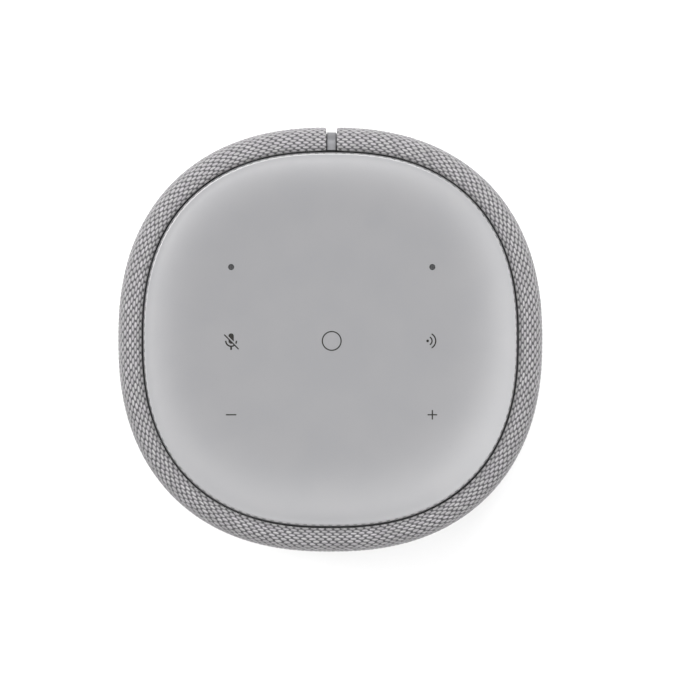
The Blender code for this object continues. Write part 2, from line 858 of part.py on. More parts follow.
def baffle_and_gasket():
    at = (0, 0, baffle_middle())
    back = CABINET_FRONT + CLEARANCE
    seal = prism(
        "baffle_gasket",
        baffle_shape(BAFFLE_MARGIN / 2),
        -back - GASKET,
        -back,
        soft_rubber(),
        axis="Y",
        at=at,
    )
    opening = baffle_shape(CABINET_WALL)
    cut(seal, prism("gasket_hole", opening, -back - 0.004, 0.001 - back, None, axis="Y", at=at))
    front = baffle_front()
    plate = prism("baffle", baffle_shape(0), -front, -front + BAFFLE_WALL, grey_plastic(), axis="Y", at=at)
    for name, radius, height in (
        ("woofer_hole", WOOFER - 0.0038, woofer_height()),
        ("tweeter_hole", TWEETER_MAGNET + 0.0005, tweeter_height()),
    ):
        at = (0, 0, height)
        hole = cylinder(name, radius, CABINET_FRONT - 0.002, front + 0.002, sides=DRIVER_SIDES, at=at)
        hole.rotation_euler = (math.pi / 2, 0, 0)
        cut(plate, hole)
    for i, (x, z) in enumerate(woofer_screw_places() + tweeter_screw_places()):
        name = f"baffle_screw_hole_{i}"
        hole = cylinder(name, SCREW_HOLE, CABINET_FRONT, front + 0.001, sides=12, at=(x, 0, z))
        hole.rotation_euler = (math.pi / 2, 0, 0)
        cut(plate, hole)


def damping_pad():
    """Wadding against the cabinet's back wall, above the woofer's magnet."""
    back = CABINET_BACK - CABINET_WALL - CLEARANCE
    box(
        "damping_pad",
        (-0.040, back - PAD_THICKNESS, cabinet_top() - PAD_DROP),
        (0.020, back, cabinet_top() - CABINET_WALL - 0.004),
        foam(),
        0.002,
    )


# ---------------------------------------------------------------- woofer


def woofer_screw_places():
    turn = (WOOFER + EAR_OFFSET) / math.sqrt(2)
    return [(x * turn, woofer_height() + z * turn) for z in (-1, 1) for x in (-1, 1)]


def woofer():
    axis = empty("woofer_axis", (0, 0, woofer_height()), (math.pi / 2, 0, 0))
    face = woofer_front()
    flange = face - WOOFER_FLANGE
    throat = WOOFER - THROAT_MARGIN  # inner edge of the flange
    shelf = face - WOOFER_BASKET_DEPTH  # the basket's floor
    magnet_top = shelf - WOOFER_SHEET - CLEARANCE
    coil_outer = COIL + COIL_WALL
    basket(axis, face, flange, throat, shelf, coil_outer)
    motor(axis, magnet_top, coil_outer)
    diaphragm(axis, face, throat, shelf, coil_outer)
    gasket_low = baffle_front() + CLEARANCE
    gasket_high = gasket_low + GASKET
    ring = [(throat, gasket_low), (WOOFER, gasket_low), (WOOFER, gasket_high), (throat, gasket_high)]
    turned("woofer_gasket", ring, soft_rubber(), parent=axis)
    for i, (x, z) in enumerate(woofer_screw_places(), 1):
        made = screw_piece(f"woofer_screw_{i}", 0.0080, at=(x, -face - CLEARANCE, z))
        made.rotation_euler = (math.pi / 2, 0, 0)


def basket(axis, face, flange, throat, shelf, coil_outer):
    wall = WOOFER_SHEET
    floor_reach = WOOFER_MAGNET - 0.004
    profile = [
        (throat, face), (WOOFER, face), (WOOFER, flange), (throat, flange), (floor_reach, shelf - wall),
        (coil_outer + 0.0020, shelf - wall), (coil_outer + 0.0020, shelf), (floor_reach - 0.0006, shelf),
        (throat - 0.0014, flange + 0.0002),
    ]
    made = turned("woofer_basket", profile, plated_steel(), parent=axis)
    for i, (x, z) in enumerate(woofer_screw_places()):
        place = (x, woofer_height() - z)
        ear = cylinder(f"ear_{i}", EAR, flange, face, sides=16, parent=axis, at=(place[0], -place[1], 0))
        join(made, ear)
    for i, (x, z) in enumerate(woofer_screw_places()):
        at = (x, z - woofer_height(), 0)
        low, high = flange - 0.001, face + 0.001
        hole = cylinder(f"ear_hole_{i}", SCREW_HOLE, low, high, sides=12, parent=axis, at=at)
        cut(made, hole)
    windows = 4
    for i in range(windows):
        turn = math.pi / 2 * i
        low, high = (floor_reach - 0.006, -0.0100, shelf + 0.0035), (WOOFER + 0.0015, 0.0100, flange - 0.0045)
        window = box(f"basket_window_{i}", low, high, None, parent=axis)
        middle = (Vector(low) + Vector(high)) / 2
        window.rotation_euler = (0, 0, turn)
        window.location = Matrix.Rotation(turn, 3, "Z") @ middle
        cut(made, window)


def motor(axis, top, coil_outer):
    """Top plate, ring magnet and yoke, stacked behind the basket."""
    plate = [(coil_outer + COIL_GAP, top), (WOOFER_MAGNET - 0.001, top)]
    plate += [(WOOFER_MAGNET - 0.001, top - WOOFER_PLATE), (coil_outer + COIL_GAP, top - WOOFER_PLATE)]
    turned("woofer_top_plate", plate, plated_steel(), parent=axis)
    high = top - WOOFER_PLATE - CLEARANCE
    low = high - WOOFER_MAGNET_HEIGHT
    ring = [(0.0160, high), (WOOFER_MAGNET, high), (WOOFER_MAGNET, low), (0.0160, low)]
    turned("woofer_magnet", ring, ferrite(), parent=axis)
    back = low - CLEARANCE
    pole = COIL - COIL_GAP
    yoke = [
        (0, top), (pole, top), (pole, back), (WOOFER_MAGNET - 0.001, back),
        (WOOFER_MAGNET - 0.001, back - WOOFER_PLATE), (0, back - WOOFER_PLATE),
    ]
    turned("woofer_yoke", yoke, plated_steel(), parent=axis)


def diaphragm(axis, face, throat, shelf, coil_outer):
    """The cone, dust cap and coil, which move together, and the two parts that let them."""
    lap = 0.0016  # the surround's foot on the basket's flange
    rim = throat + lap - WOOFER_SURROUND
    rim_height = face - CLEARANCE
    neck_height = rim_height - WOOFER_CONE_DEPTH
    sheet = 0.0006
    cone = [(coil_outer + CLEARANCE, neck_height)]
    steps = 3
    for step in range(1, steps + 1):
        share = step / steps
        reach = coil_outer + CLEARANCE + (rim - coil_outer - CLEARANCE) * share**0.85
        cone.append((reach, neck_height + WOOFER_CONE_DEPTH * share))
    cone += [(radius, height - 2 * sheet) for radius, height in cone[::-1]]
    turned("woofer_cone", cone, paper_cone(), parent=axis)
    dome = 0.0145
    seat = neck_height + 0.0036
    cap = arc((0, seat), dome, 0.0048, 90, 0, 3) + arc((0, seat), dome - sheet, 0.0048 - sheet, 0, 90, 3)
    turned("woofer_dust_cap", cap, paper_cone(), parent=axis)
    high = neck_height + 0.0010
    coil = [(COIL, high), (coil_outer, high), (coil_outer, high - COIL_LENGTH), (COIL, high - COIL_LENGTH)]
    turned("voice_coil", coil, copper(), 28, parent=axis)
    roll = WOOFER_SURROUND / 2 - CLEARANCE
    middle = (rim + WOOFER_SURROUND / 2, face + CLEARANCE)
    surround = arc(middle, roll, roll, 180, 0, 5) + arc(middle, roll - 2 * sheet, roll - 2 * sheet, 0, 180, 4)
    turned("woofer_surround", surround, soft_rubber(), parent=axis)
    reach = WOOFER_MAGNET - 0.0065
    waves, height = 4, shelf + 0.0014
    upper = []
    for step in range(waves + 1):
        radius = coil_outer + CLEARANCE + (reach - coil_outer - CLEARANCE) * step / waves
        upper.append((radius, height + (0.0005 if step % 2 else -0.0003)))
    spider = upper + [(radius, z - sheet) for radius, z in upper[::-1]]
    turned("woofer_spider", spider, silk(), 28, parent=axis)


# ---------------------------------------------------------------- tweeter


def tweeter_screw_places():
    reach = TWEETER - 0.0032
    return [(-reach, tweeter_height()), (reach, tweeter_height())]


def tweeter():
    axis = empty("tweeter_axis", (0, 0, tweeter_height()), (math.pi / 2, 0, 0))
    face = tweeter_front()
    back = face - TWEETER_FLANGE
    mouth = TWEETER_DOME + TWEETER_ROLL + 0.0004
    ring = [(mouth, back), (mouth, face - 0.0006), (mouth + 0.0016, face), (TWEETER, face), (TWEETER, back)]
    plate = turned("tweeter_faceplate", ring, black_plastic(), TWEETER_SIDES, axis)
    for i, (x, z) in enumerate(tweeter_screw_places(), 1):
        name = f"faceplate_hole_{i}"
        low, high = back - 0.001, face + 0.001
        cut(plate, cylinder(name, SCREW_HOLE, low, high, sides=12, parent=axis, at=(x, 0, 0)))
        made = screw_piece(f"tweeter_screw_{i}", 0.0060, at=(x, -face - CLEARANCE, z))
        made.rotation_euler = (math.pi / 2, 0, 0)
    seat = back - 2 * CLEARANCE
    gap = 0.0007
    former = 0.0006
    pole = TWEETER_DOME - former - gap
    groove, magnet_back = seat - 0.0070, seat - TWEETER_MAGNET_DEPTH
    magnet = [
        (0, seat),
        (pole, seat),
        (pole, groove),
        (TWEETER_DOME + gap, groove),
        (TWEETER_DOME + gap, seat),
        (TWEETER_MAGNET, seat),
        (TWEETER_MAGNET, magnet_back),
        (0, magnet_back),
    ]
    turned("tweeter_magnet", magnet, ferrite(), TWEETER_SIDES, axis)
    dome_rise = 0.0036
    base = back + 0.0004
    dome = arc((0, base), TWEETER_DOME, dome_rise, 90, 0, 3)
    dome += [(TWEETER_DOME, seat - 0.0040), (TWEETER_DOME - former, seat - 0.0040)]
    dome += arc((0, base), TWEETER_DOME - former, dome_rise - TWEETER_SHEET, 0, 90, 3)
    turned("tweeter_dome", dome, silk(), TWEETER_SIDES, axis)
    roll = TWEETER_ROLL / 2 - CLEARANCE / 2
    middle = (TWEETER_DOME + TWEETER_ROLL / 2 + CLEARANCE / 2, base)
    inner_roll = roll - TWEETER_SHEET
    surround = arc(middle, roll, roll, 180, 0, 4) + arc(middle, inner_roll, inner_roll, 0, 180, 3)
    turned("tweeter_surround", surround, silk(), TWEETER_SIDES, axis)


# ---------------------------------------------------------------- electronics


def board_back():
    """The plane of the boards' front faces, behind the cabinet's posts."""
    return CABINET_BACK + BOARD_STANDOFF + CLEARANCE


def main_board():
    low, high = main_board_span()
    middle = board_back() + BOARD_SHEET / 2
    size = (MAIN_BOARD_WIDTH, BOARD_SHEET, high - low)
    board = block("main_board", size, (0, middle, main_board_height()), circuit_board())
    face = board_back() + BOARD_SHEET + CLEARANCE
    for i, (x, z) in enumerate(board_screw_places(), 1):
        hole = cylinder(f"board_hole_{i}", SCREW_HOLE, -0.002, 0.002, sides=12, at=(x, middle, z))
        hole.rotation_euler = (-math.pi / 2, 0, 0)
        cut(board, hole)
        made = screw_piece(f"board_screw_{i}", 0.0055, at=(x, face, z))
        made.rotation_euler = (-math.pi / 2, 0, 0)
    width, depth, height = SHIELD_CAN
    top = high - 0.0200
    corner = (width - 0.033, face + depth, top)
    box("shield_can", (-0.033, face, top - height), corner, plated_steel(), 0.0004)
    width, depth, height = HEATSINK
    foot = low + 0.0120
    corner = (0.002 + width, face + depth, foot + height)
    sink = box("heatsink", (0.002, face, foot), corner, brushed_aluminium())
    fins, pitch, base = 5, 0.0060, 0.0030
    for i in range(fins):
        x = 0.0032 + i * pitch
        corner = (x + 0.6 * pitch, face + depth + 0.006, foot + height + 0.006)
        cut(sink, box(f"fin_gap_{i}", (x, face + base, foot - 0.006), corner, None))


def power_supply():
    middle = board_back() + BOARD_SHEET / 2
    height = power_board_height()
    block("power_board", POWER_BOARD, (0, middle, height), circuit_board())
    face = board_back() + BOARD_SHEET + CLEARANCE
    size = Vector(TRANSFORMER)
    centre = (-0.004, face + size.y / 2, height + 0.0005)
    block("transformer", size, centre, black_plastic(), 0.0010)
    radius, tall = CAPACITOR
    rounding = 0.0008
    profile = [(0, tall), (radius - rounding, tall), (radius, tall - rounding), (radius, 0), (0, 0)]
    can = turned("bulk_capacitor", profile, black_plastic(), 20, at=(0.0230, face, height))
    can.rotation_euler = (-math.pi / 2, 0, 0)


def antennas():
    for side, name in ((-1, "left"), (1, "right")):
        middle = (side * 0.0525, 0.0280, cabinet_top() - ANTENNA_DROP)
        block(f"antenna_{name}", ANTENNA, middle, circuit_board())


def grommet_and_leads():
    x, y, z = grommet_place()
    bore = 2 * LEAD + 0.0014
    lip, half = 0.0064, CABINET_WALL / 2
    section = [
        (bore, half + 0.0012), (lip, half + 0.0012), (lip, half + CLEARANCE), (0.0047, half + CLEARANCE),
        (0.0047, -half - 0.0008), (bore, -half - 0.0008),
    ]
    grommet = turned("cable_grommet", section, soft_rubber(), 18, at=(x, y, z))
    grommet.rotation_euler = (-math.pi / 2, 0, 0)
    pitch = LEAD + 0.0007
    face = board_back() + BOARD_SHEET
    woofer_drop = woofer_height() + 0.029 - z
    tweeter_z = tweeter_height()
    drivers = {
        "woofer_lead": (
            -1,
            [
                (x - 0.004, y - 0.022, z - 0.010),
                (x - 0.010, y - 0.036, z + 0.70 * woofer_drop),
                (x - 0.012, y - 0.044, z + 0.96 * woofer_drop),
                (x - 0.0145, -0.0330, z + woofer_drop),
            ],
        ),
        "tweeter_lead": (
            1,
            [
                (x - 0.010, y - 0.020, z + 0.010),
                (x - 0.026, y - 0.032, z + 0.90 * (tweeter_z - z)),
                (x - 0.038, y - 0.036, tweeter_z),
                (x - 0.043, -0.0255, tweeter_z),
                (x - 0.045, -0.0295, tweeter_z),
            ],
        ),
    }
    for name, (side, inside) in drivers.items():
        level = z + side * pitch
        outside = [
            (x - 0.0120, face + 2 * CLEARANCE, level + side * 0.008),
            (x - 0.0120, face + 0.0030, level + side * 0.008),
            (x - 0.0060, face + 0.0060, level + side * 0.004),
            (x, face + 0.0020, level),
            (x, y + 0.0040, level),
            (x, y, level),
            (x, y - 0.0040, level),
        ]
        tube(name, outside + inside, LEAD, wire_jacket())
    inlet_back = inlet_front() - INLET_BODY[1] - 2 * CLEARANCE
    face = board_back() + BOARD_SHEET + 2 * CLEARANCE
    power_z = power_board_height() - 0.005
    tube(
        "power_lead",
        [
            (0.004, inlet_back, INLET_HEIGHT),
            (0.004, inlet_back - 0.004, INLET_HEIGHT),
            (-0.004, inlet_back - 0.010, INLET_HEIGHT + 0.007),
            (-0.020, face + 0.010, INLET_HEIGHT + 0.016),
            (-0.027, face + 0.005, power_z),
            (-0.027, face, power_z),
        ],
        1.6 * LEAD,
        wire_jacket(),
    )


def touch_ribbon():
    """A flat flex that hangs from the touch board to the main board."""
    thick = 0.0003
    face = board_back() + BOARD_SHEET + CLEARANCE
    out = face + 0.0060
    top = frame_top() - 0.0002
    foot = main_board_span()[1] - 0.0140
    bend = foot + 0.008
    far = out + thick
    points = [(face, foot), (out, bend), (out, top), (far, top), (far, bend), (face, foot - 0.001)]
    prism("touch_ribbon", points, -0.006, 0.006, clear_plastic(), axis="X")


def build():
    start_scene()
    rubber_foot()
    base_plate()
    base_screws()
    cabinet()
    baffle_and_gasket()
    damping_pad()
    woofer()
    tweeter()
    main_board()
    power_supply()
    antennas()
    grommet_and_leads()
    touch_ribbon()
    mains_inlet()
    inlet_frame()
    grille_shell()
    fabric_sleeve()
    back_strip()
    top_frame()
    touch_board()
    microphones_and_light()
    top_panel()


build()
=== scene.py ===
"""Looks of the table-top smart speaker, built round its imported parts.

Units are metres. Z is up, the floor is z = 0, the front is -Y and the metal strip runs up the back, +Y.
"""

import json
import math

import bmesh
import bpy
import numpy as np
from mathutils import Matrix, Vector


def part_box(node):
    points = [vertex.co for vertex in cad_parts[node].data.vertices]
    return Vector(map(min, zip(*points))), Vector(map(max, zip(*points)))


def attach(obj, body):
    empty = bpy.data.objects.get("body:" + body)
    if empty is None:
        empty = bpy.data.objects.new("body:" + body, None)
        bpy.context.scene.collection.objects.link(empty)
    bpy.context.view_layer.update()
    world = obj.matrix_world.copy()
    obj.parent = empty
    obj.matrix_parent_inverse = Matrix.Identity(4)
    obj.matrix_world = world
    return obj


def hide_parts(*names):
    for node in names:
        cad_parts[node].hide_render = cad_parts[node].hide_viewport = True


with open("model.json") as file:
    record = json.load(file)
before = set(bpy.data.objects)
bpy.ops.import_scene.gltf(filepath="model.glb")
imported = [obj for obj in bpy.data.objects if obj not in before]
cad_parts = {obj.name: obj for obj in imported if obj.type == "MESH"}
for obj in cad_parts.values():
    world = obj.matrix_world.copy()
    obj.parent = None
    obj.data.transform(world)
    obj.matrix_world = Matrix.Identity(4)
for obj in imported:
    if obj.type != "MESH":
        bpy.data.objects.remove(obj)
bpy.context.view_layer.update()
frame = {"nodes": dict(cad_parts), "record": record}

MM = 0.001

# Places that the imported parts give
SLEEVE_LOW, SLEEVE_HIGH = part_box("fabric_sleeve")
PANEL_LOW, PANEL_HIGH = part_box("top_panel")
STRIP_LOW, STRIP_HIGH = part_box("back_strip")
FRAME_LOW, FRAME_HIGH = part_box("inlet_frame")
INLET_LOW, INLET_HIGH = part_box("mains_inlet")
_, FOOT_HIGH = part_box("rubber_foot")
GUIDE_LOW, GUIDE_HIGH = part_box("light_guide")
MIC_LOW, MIC_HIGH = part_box("mic_mesh_right")
HALF = SLEEVE_HIGH.x  # half the body's width
PANEL_HALF = PANEL_HIGH.x
CLOTH_TOP = SLEEVE_HIGH.z
CLOTH_BOTTOM = SLEEVE_LOW.z
CROWN = PANEL_HIGH.z - CLOTH_TOP  # how far the panel's middle stands above its edge
KEY_CENTRE = (GUIDE_LOW + GUIDE_HIGH).xy / 2
KEY_PITCH = (MIC_LOW + MIC_HIGH).xy / 2 - KEY_CENTRE

# The body's outline and the run of its face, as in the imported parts
BODY_POWER = 2.32
PANEL_POWER = 2.42
SHOULDER_WIDTH = 6.4 * MM
SHOULDER_HEIGHT = 10 * MM
SHOULDER_POWER = 2.35
HEM_WIDTH = 7.4 * MM
HEM_HEIGHT = 10 * MM
TAPER = 1.3 * MM
FABRIC = 1.4 * MM
LIP = 4.5 * MM
LIP_ROUND = 1.1 * MM
LIP_INSET = SHOULDER_WIDTH + FABRIC
PANEL_INSET = HALF - PANEL_HALF
PANEL_FLAT = 0.55
PANEL_RIM = 0.9 * MM  # the round of the panel's edge
SLOT_HALF = 1.75 * MM
SLOT_MIDDLE = 0.4 * MM  # the slot sits a little to one side, as the keys do
MIC_HOLE = 1.0 * MM

# Weave
FLOAT_PITCH = 2.745 * MM  # along a row
ROW_ABOVE = 0.86 * MM  # row spacing as seen from above
ROW_DOWN = 1.2 * MM  # and down the side
FLOAT_LENGTH = 0.375  # half a float, in pitches
FLOAT_WIDTH = 0.44  # half a float, in rows
LEAN = 0.22  # how far a float slants, in rows a pitch
FLOAT_BLUNT = 1.9  # how square a float's ends are
FINE_ALONG = 8  # mesh columns in a pitch
FINE_ACROSS = 4  # mesh rows in a row
THREAD_RISE = 0.24 * MM
THREAD_MIDDLE = 0.35  # the share of the rise that lies at the cloth's face
STRAYS = ((0.06, 0.83, 1.71, 1.3), (0.045, 1.37, -2.3, 0.9))  # how threads wander: reach, two waves, twist
FINE_ROWS = 16  # rows over the shoulder whose threads are real relief
COARSE_STEP = 3.0  # rows between the mesh rows below them
FINE_DEPTH = 1.6 * MM  # how far down the lip they begin
EDGE_BEND = 0.65 * MM  # the round of the cloth's edges at the slot
EDGE_TUCK = (1.6 * MM, 0.8 * MM)  # how deep the two columns behind each edge lie
EDGE_COLUMNS = 5  # columns at each edge that every mesh row has
SEAM_PITCHES = 1.42  # float pitches across the seam below the inlet
WINDOW_GAP = 0.3 * MM
WINDOW_LEFT, WINDOW_RIGHT = FRAME_LOW.x - WINDOW_GAP, FRAME_HIGH.x + WINDOW_GAP
WINDOW_LOW, WINDOW_HIGH = FRAME_LOW.z - WINDOW_GAP, FRAME_HIGH.z + WINDOW_GAP
WINDOW_ROUND = 3 * MM


# ---------------------------------------------------------------- shader arithmetic


class Level:
    """A value that varies over a surface. Each sign used on it adds the Math node that works it out."""

    def __init__(self, finish, socket):
        self.finish = finish
        self.socket = socket

    def math(self, operation, *values):
        return self.finish.node("Math", {"operation": operation}, dict(enumerate(values)))

    def __add__(self, other):
        return self.math("ADD", self, other)

    def __sub__(self, other):
        return self.math("SUBTRACT", self, other)

    def __rsub__(self, other):
        return self.math("SUBTRACT", other, self)

    def __mul__(self, other):
        return self.math("MULTIPLY", self, other)

    def __truediv__(self, other):
        return self.math("DIVIDE", self, other)

    def __pow__(self, other):
        return self.math("POWER", self, other)

    __radd__ = __add__
    __rmul__ = __mul__

    def floor(self):
        return self.math("FLOOR", self)

    def size(self):
        return self.math("ABSOLUTE", self)

    def sine(self):
        return self.math("SINE", self)

    def most(self, other):
        return self.math("MAXIMUM", self, other)

    def odd(self):
        return self.math("FLOORED_MODULO", self, 2.0)

    def ease(self, low, high):
        """0 below low, 1 above high, and a smooth climb between."""
        climb = {"interpolation_type": "SMOOTHSTEP"}
        return self.finish.node("MapRange", climb, {0: self, 1: low, 2: high})


class Finish:
    """One of the speaker's finishes. What is the same all over sits on the shader's own sockets."""

    def __init__(self, name, **fixed):
        self.material = bpy.data.materials.new(name)
        self.material.use_nodes = True
        self.tree = self.material.node_tree
        self.shader = self.tree.nodes["Principled BSDF"]
        for socket, value in fixed.items():
            self.shader.inputs[socket.replace("_", " ")].default_value = value

    def node(self, kind, settings, sockets, output=0):
        made = self.tree.nodes.new("ShaderNode" + kind)
        for name, value in settings.items():
            setattr(made, name, value)
        for name, value in sockets.items():
            if isinstance(value, Level):
                self.tree.links.new(value.socket, made.inputs[name])
            else:
                made.inputs[name].default_value = value
        return Level(self, made.outputs[output])

    def feed(self, socket, level):
        self.tree.links.new(level.socket, self.shader.inputs[socket])

    def place(self):
        return self.node("TexCoord", {}, {}, "Object")

    def chart(self, name):
        """The two coordinates of a UV map, each as a level."""
        chart = self.node("UVMap", {"uv_map": name}, {})
        split = self.node("SeparateXYZ", {}, {0: chart})
        return split, Level(self, split.socket.node.outputs[1])

    def point(self, x, y, z=0.0):
        return self.node("CombineXYZ", {}, {0: x, 1: y, 2: z})

    def stretched(self, vector, by):
        return self.node("VectorMath", {"operation": "MULTIPLY"}, {0: vector, 1: by})

    def noise(self, vector, scale, detail=2.0, roughness=0.5):
        sockets = {"Vector": vector, "Scale": scale, "Detail": detail, "Roughness": roughness}
        return self.node("TexNoise", {}, sockets)

    def speckle(self, vector):
        return self.node("TexWhiteNoise", {}, {"Vector": vector})

    def blend(self, share, first, second):
        """A colour between two, by a level."""
        first, second = ((*c, 1.0) if isinstance(c, tuple) else c for c in (first, second))
        return self.node("Mix", {"data_type": "RGBA"}, {0: share, 6: first, 7: second}, 2)

    def shade(self, colour, level):
        """A colour times a level."""
        grey = self.node("CombineColor", {}, {0: level, 1: level, 2: level})
        product = {"data_type": "RGBA", "blend_type": "MULTIPLY"}
        return self.node("Mix", product, {0: 1.0, 6: colour, 7: grey}, 2)

    def relief(self, height, distance, strength=1.0):
        """A bump whose height runs from 0 to 1 over distance."""
        sockets = {"Strength": strength, "Distance": distance, "Height": height}
        self.feed("Normal", self.node("Bump", {}, sockets))


# ---------------------------------------------------------------- finishes


def wander(along, across, sine):
    """How far the weave strays at a place, along and across the rows, in pitches and rows."""
    (reach_a, a, b, twist_a), (reach_b, c, d, twist_b) = STRAYS
    first = sine(along * a + across * b + sine(along * c + across * 0.4) * twist_a)
    second = sine(along * c + across * d + sine(across * a + along * 0.3) * twist_b)
    return first * reach_a, second * (1.5 * reach_b) + first * (0.5 * reach_b)


def woven_wool():
    """Light floats over a darker ground, in brick rows."""
    wool = Finish("woven_wool", Sheen_Weight=0.5, Sheen_Roughness=0.4, Specular_IOR_Level=0.25)
    along, across = wool.chart("weave")
    stray_along, stray_across = wander(along, across, lambda level: level.sine())
    along, across = along + stray_along, across + stray_across
    row = across.floor()
    shifted = along + row.odd() * 0.5
    cell = shifted.floor()
    step = shifted - cell - 0.5
    far = step.size()
    rise = across - row - 0.5
    leaned = rise + step * LEAN
    near = (far / FLOAT_LENGTH) ** FLOAT_BLUNT + (leaned / FLOAT_WIDTH) ** 2.0
    height = (1.0 - near).most(0.0) ** 0.5
    hollow = ((0.5 - far) / 0.16) ** 2.0 + (rise / 0.6) ** 2.0  # where the thread dives between two floats
    between = (1.0 - hollow).most(0.0) ** 0.5
    own = wool.speckle(wool.point(cell, row, 1.0))
    hue = wool.speckle(wool.point(cell, row, 5.0))
    fibres = wool.noise(wool.point(shifted * 3.0, across * 14.0 + step * 4.0), 1.0, 3.0)
    flecks = wool.noise(wool.place(), 2600.0, 2.0)
    body = wool.blend(hue, (0.266, 0.255, 0.268), (0.260, 0.257, 0.257))
    body = wool.shade(body, 0.86 + own * 0.26)
    body = wool.shade(body, 0.80 + fibres * 0.40)
    # painted shade: the ground is painted darker in the dips where the thread dives between two floats
    ground = wool.blend(between, (0.112, 0.109, 0.114), (0.050, 0.049, 0.052))
    cloth = wool.blend(height.ease(0.02, 0.60), ground, body)
    cloth = wool.shade(cloth, 0.90 + flecks * 0.20)
    cloth = wool.shade(cloth, 0.60 + across.ease(3.0, 5.4) * 0.40)  # painted shade: darker down in the fold at the lip
    wool.feed("Base Color", cloth)
    wool.feed("Roughness", 0.80 + fibres * 0.18)
    full = height - between * 0.30 + fibres * 0.16 + flecks * 0.10
    wool.relief(full, 0.22 * MM, 0.6)
    return wool


def soft_touch():
    """The panel's matte, slightly pearly plastic."""
    skin = Finish("soft_touch_panel", Specular_IOR_Level=0.95, IOR=1.75)
    place = skin.place()
    grain = skin.noise(place, 5200.0, 2.0)
    cloud = skin.noise(place, 70.0, 2.0)
    colour = skin.blend(cloud.ease(0.3, 0.7), (0.148, 0.148, 0.155), (0.155, 0.154, 0.160))
    colour = skin.shade(colour, 0.965 + grain * 0.07)
    skin.feed("Base Color", colour)
    skin.feed("Roughness", 0.25 + grain * 0.10)
    skin.relief(grain, 0.012 * MM, 0.5)
    return skin


def key_print():
    """Flat dark ink."""
    ink = Finish("key_print", Specular_IOR_Level=0.15)
    grain = ink.noise(ink.place(), 6000.0)
    ink.feed("Base Color", ink.blend(grain, (0.012, 0.0115, 0.010), (0.018, 0.017, 0.015)))
    ink.feed("Roughness", 0.55 + grain * 0.2)
    return ink


def brushed_metal(name, tint, roughness, along=(1, 1, 0.03), metallic=1.0):
    """Metal with fine scratches that run one way."""
    metal = Finish(name, Metallic=metallic)
    place = metal.place()
    scratches = metal.noise(metal.stretched(place, along), 9000.0, 3.0)
    cloud = metal.noise(place, 120.0)
    dark = tuple(0.86 * c for c in tint)
    metal.feed("Base Color", metal.shade(metal.blend(cloud, dark, tint), 0.92 + scratches * 0.16))
    metal.feed("Roughness", roughness - 0.08 + scratches * 0.16)
    metal.relief(scratches, 0.006 * MM, 0.4)
    return metal


def moulded(name, tint, roughness, grain=2600.0, depth=0.02, spread=0.25):
    """Plastic, rubber or ceramic with the fine texture of its mould."""
    cast = Finish(name)
    place = cast.place()
    texture = cast.noise(place, grain, 2.0)
    cloud = cast.noise(place, 90.0)
    low = tuple((1 - spread / 2) * c for c in tint)
    high = tuple((1 + spread / 2) * c for c in tint)
    cast.feed("Base Color", cast.blend(cloud * 0.5 + texture * 0.5, low, high))
    cast.feed("Roughness", roughness - 0.07 + texture * 0.14)
    cast.relief(texture, depth * MM, 0.6)
    return cast


def fibre_wadding():
    """Matted fibres, light over dark."""
    wad = Finish("fibre_wadding", Roughness=0.95, Sheen_Weight=0.3)
    fibres = wad.noise(wad.stretched(wad.place(), (1, 3, 1)), 700.0, 4.0)
    wad.feed("Base Color", wad.blend(fibres.ease(0.3, 0.7), (0.13, 0.13, 0.12), (0.42, 0.41, 0.39)))
    wad.relief(fibres, 0.5 * MM)
    return wad


def circuit_board():
    """Solder mask with lighter tracks under it."""
    board = Finish("circuit_board", Specular_IOR_Level=0.6)
    place = board.place()
    grid = board.node("TexVoronoi", {"distance": "CHEBYCHEV"}, {"Vector": place, "Scale": 420.0})
    wave = {"Vector": place, "Scale": 300.0, "Distortion": 6.0}
    tracks = board.node("TexWave", {"bands_direction": "DIAGONAL"}, wave)
    lines = tracks.ease(0.55, 0.7) * (1.0 - grid.ease(0.4, 0.5))
    board.feed("Base Color", board.blend(lines, (0.010, 0.055, 0.028), (0.022, 0.105, 0.050)))
    board.feed("Roughness", 0.35 + lines * 0.15)
    board.relief(lines, 0.03 * MM)
    return board


def coated_silk():
    """Fine cloth with a stiff, slightly glossy coat."""
    silk = Finish("coated_silk", Specular_IOR_Level=0.5)
    across = silk.node("TexWave", {"bands_direction": "X"}, {"Vector": silk.place(), "Scale": 900.0})
    down = silk.node("TexWave", {"bands_direction": "Y"}, {"Vector": silk.place(), "Scale": 900.0})
    weave = across * down
    silk.feed("Base Color", silk.blend(weave, (0.040, 0.040, 0.048), (0.080, 0.080, 0.092)))
    silk.feed("Roughness", 0.35 + weave * 0.25)
    silk.relief(weave, 0.04 * MM)
    return silk


def milky_plastic():
    """A light guide: light passes into it and scatters."""
    milk = Finish("milky_plastic", Subsurface_Weight=0.3, Subsurface_Scale=0.002, Coat_Weight=0.2)
    cloud = milk.noise(milk.place(), 300.0, 3.0)
    milk.feed("Base Color", milk.blend(cloud, (0.72, 0.73, 0.75), (0.84, 0.85, 0.87)))
    milk.feed("Roughness", 0.15 + cloud * 0.2)
    return milk


def microphone_mesh():
    """Fine woven wire, with dark holes."""
    wire = Finish("microphone_mesh", Specular_IOR_Level=0.25)
    across = wire.node("TexWave", {"bands_direction": "X"}, {"Vector": wire.place(), "Scale": 560.0})
    down = wire.node("TexWave", {"bands_direction": "Y"}, {"Vector": wire.place(), "Scale": 560.0})
    wires = across.most(down).ease(0.35, 0.85)
    wire.feed("Base Color", wire.blend(wires, (0.008, 0.008, 0.009), (0.045, 0.045, 0.047)))
    wire.feed("Roughness", 0.75 - wires * 0.3)
    wire.relief(wires, 0.05 * MM)
    return wire


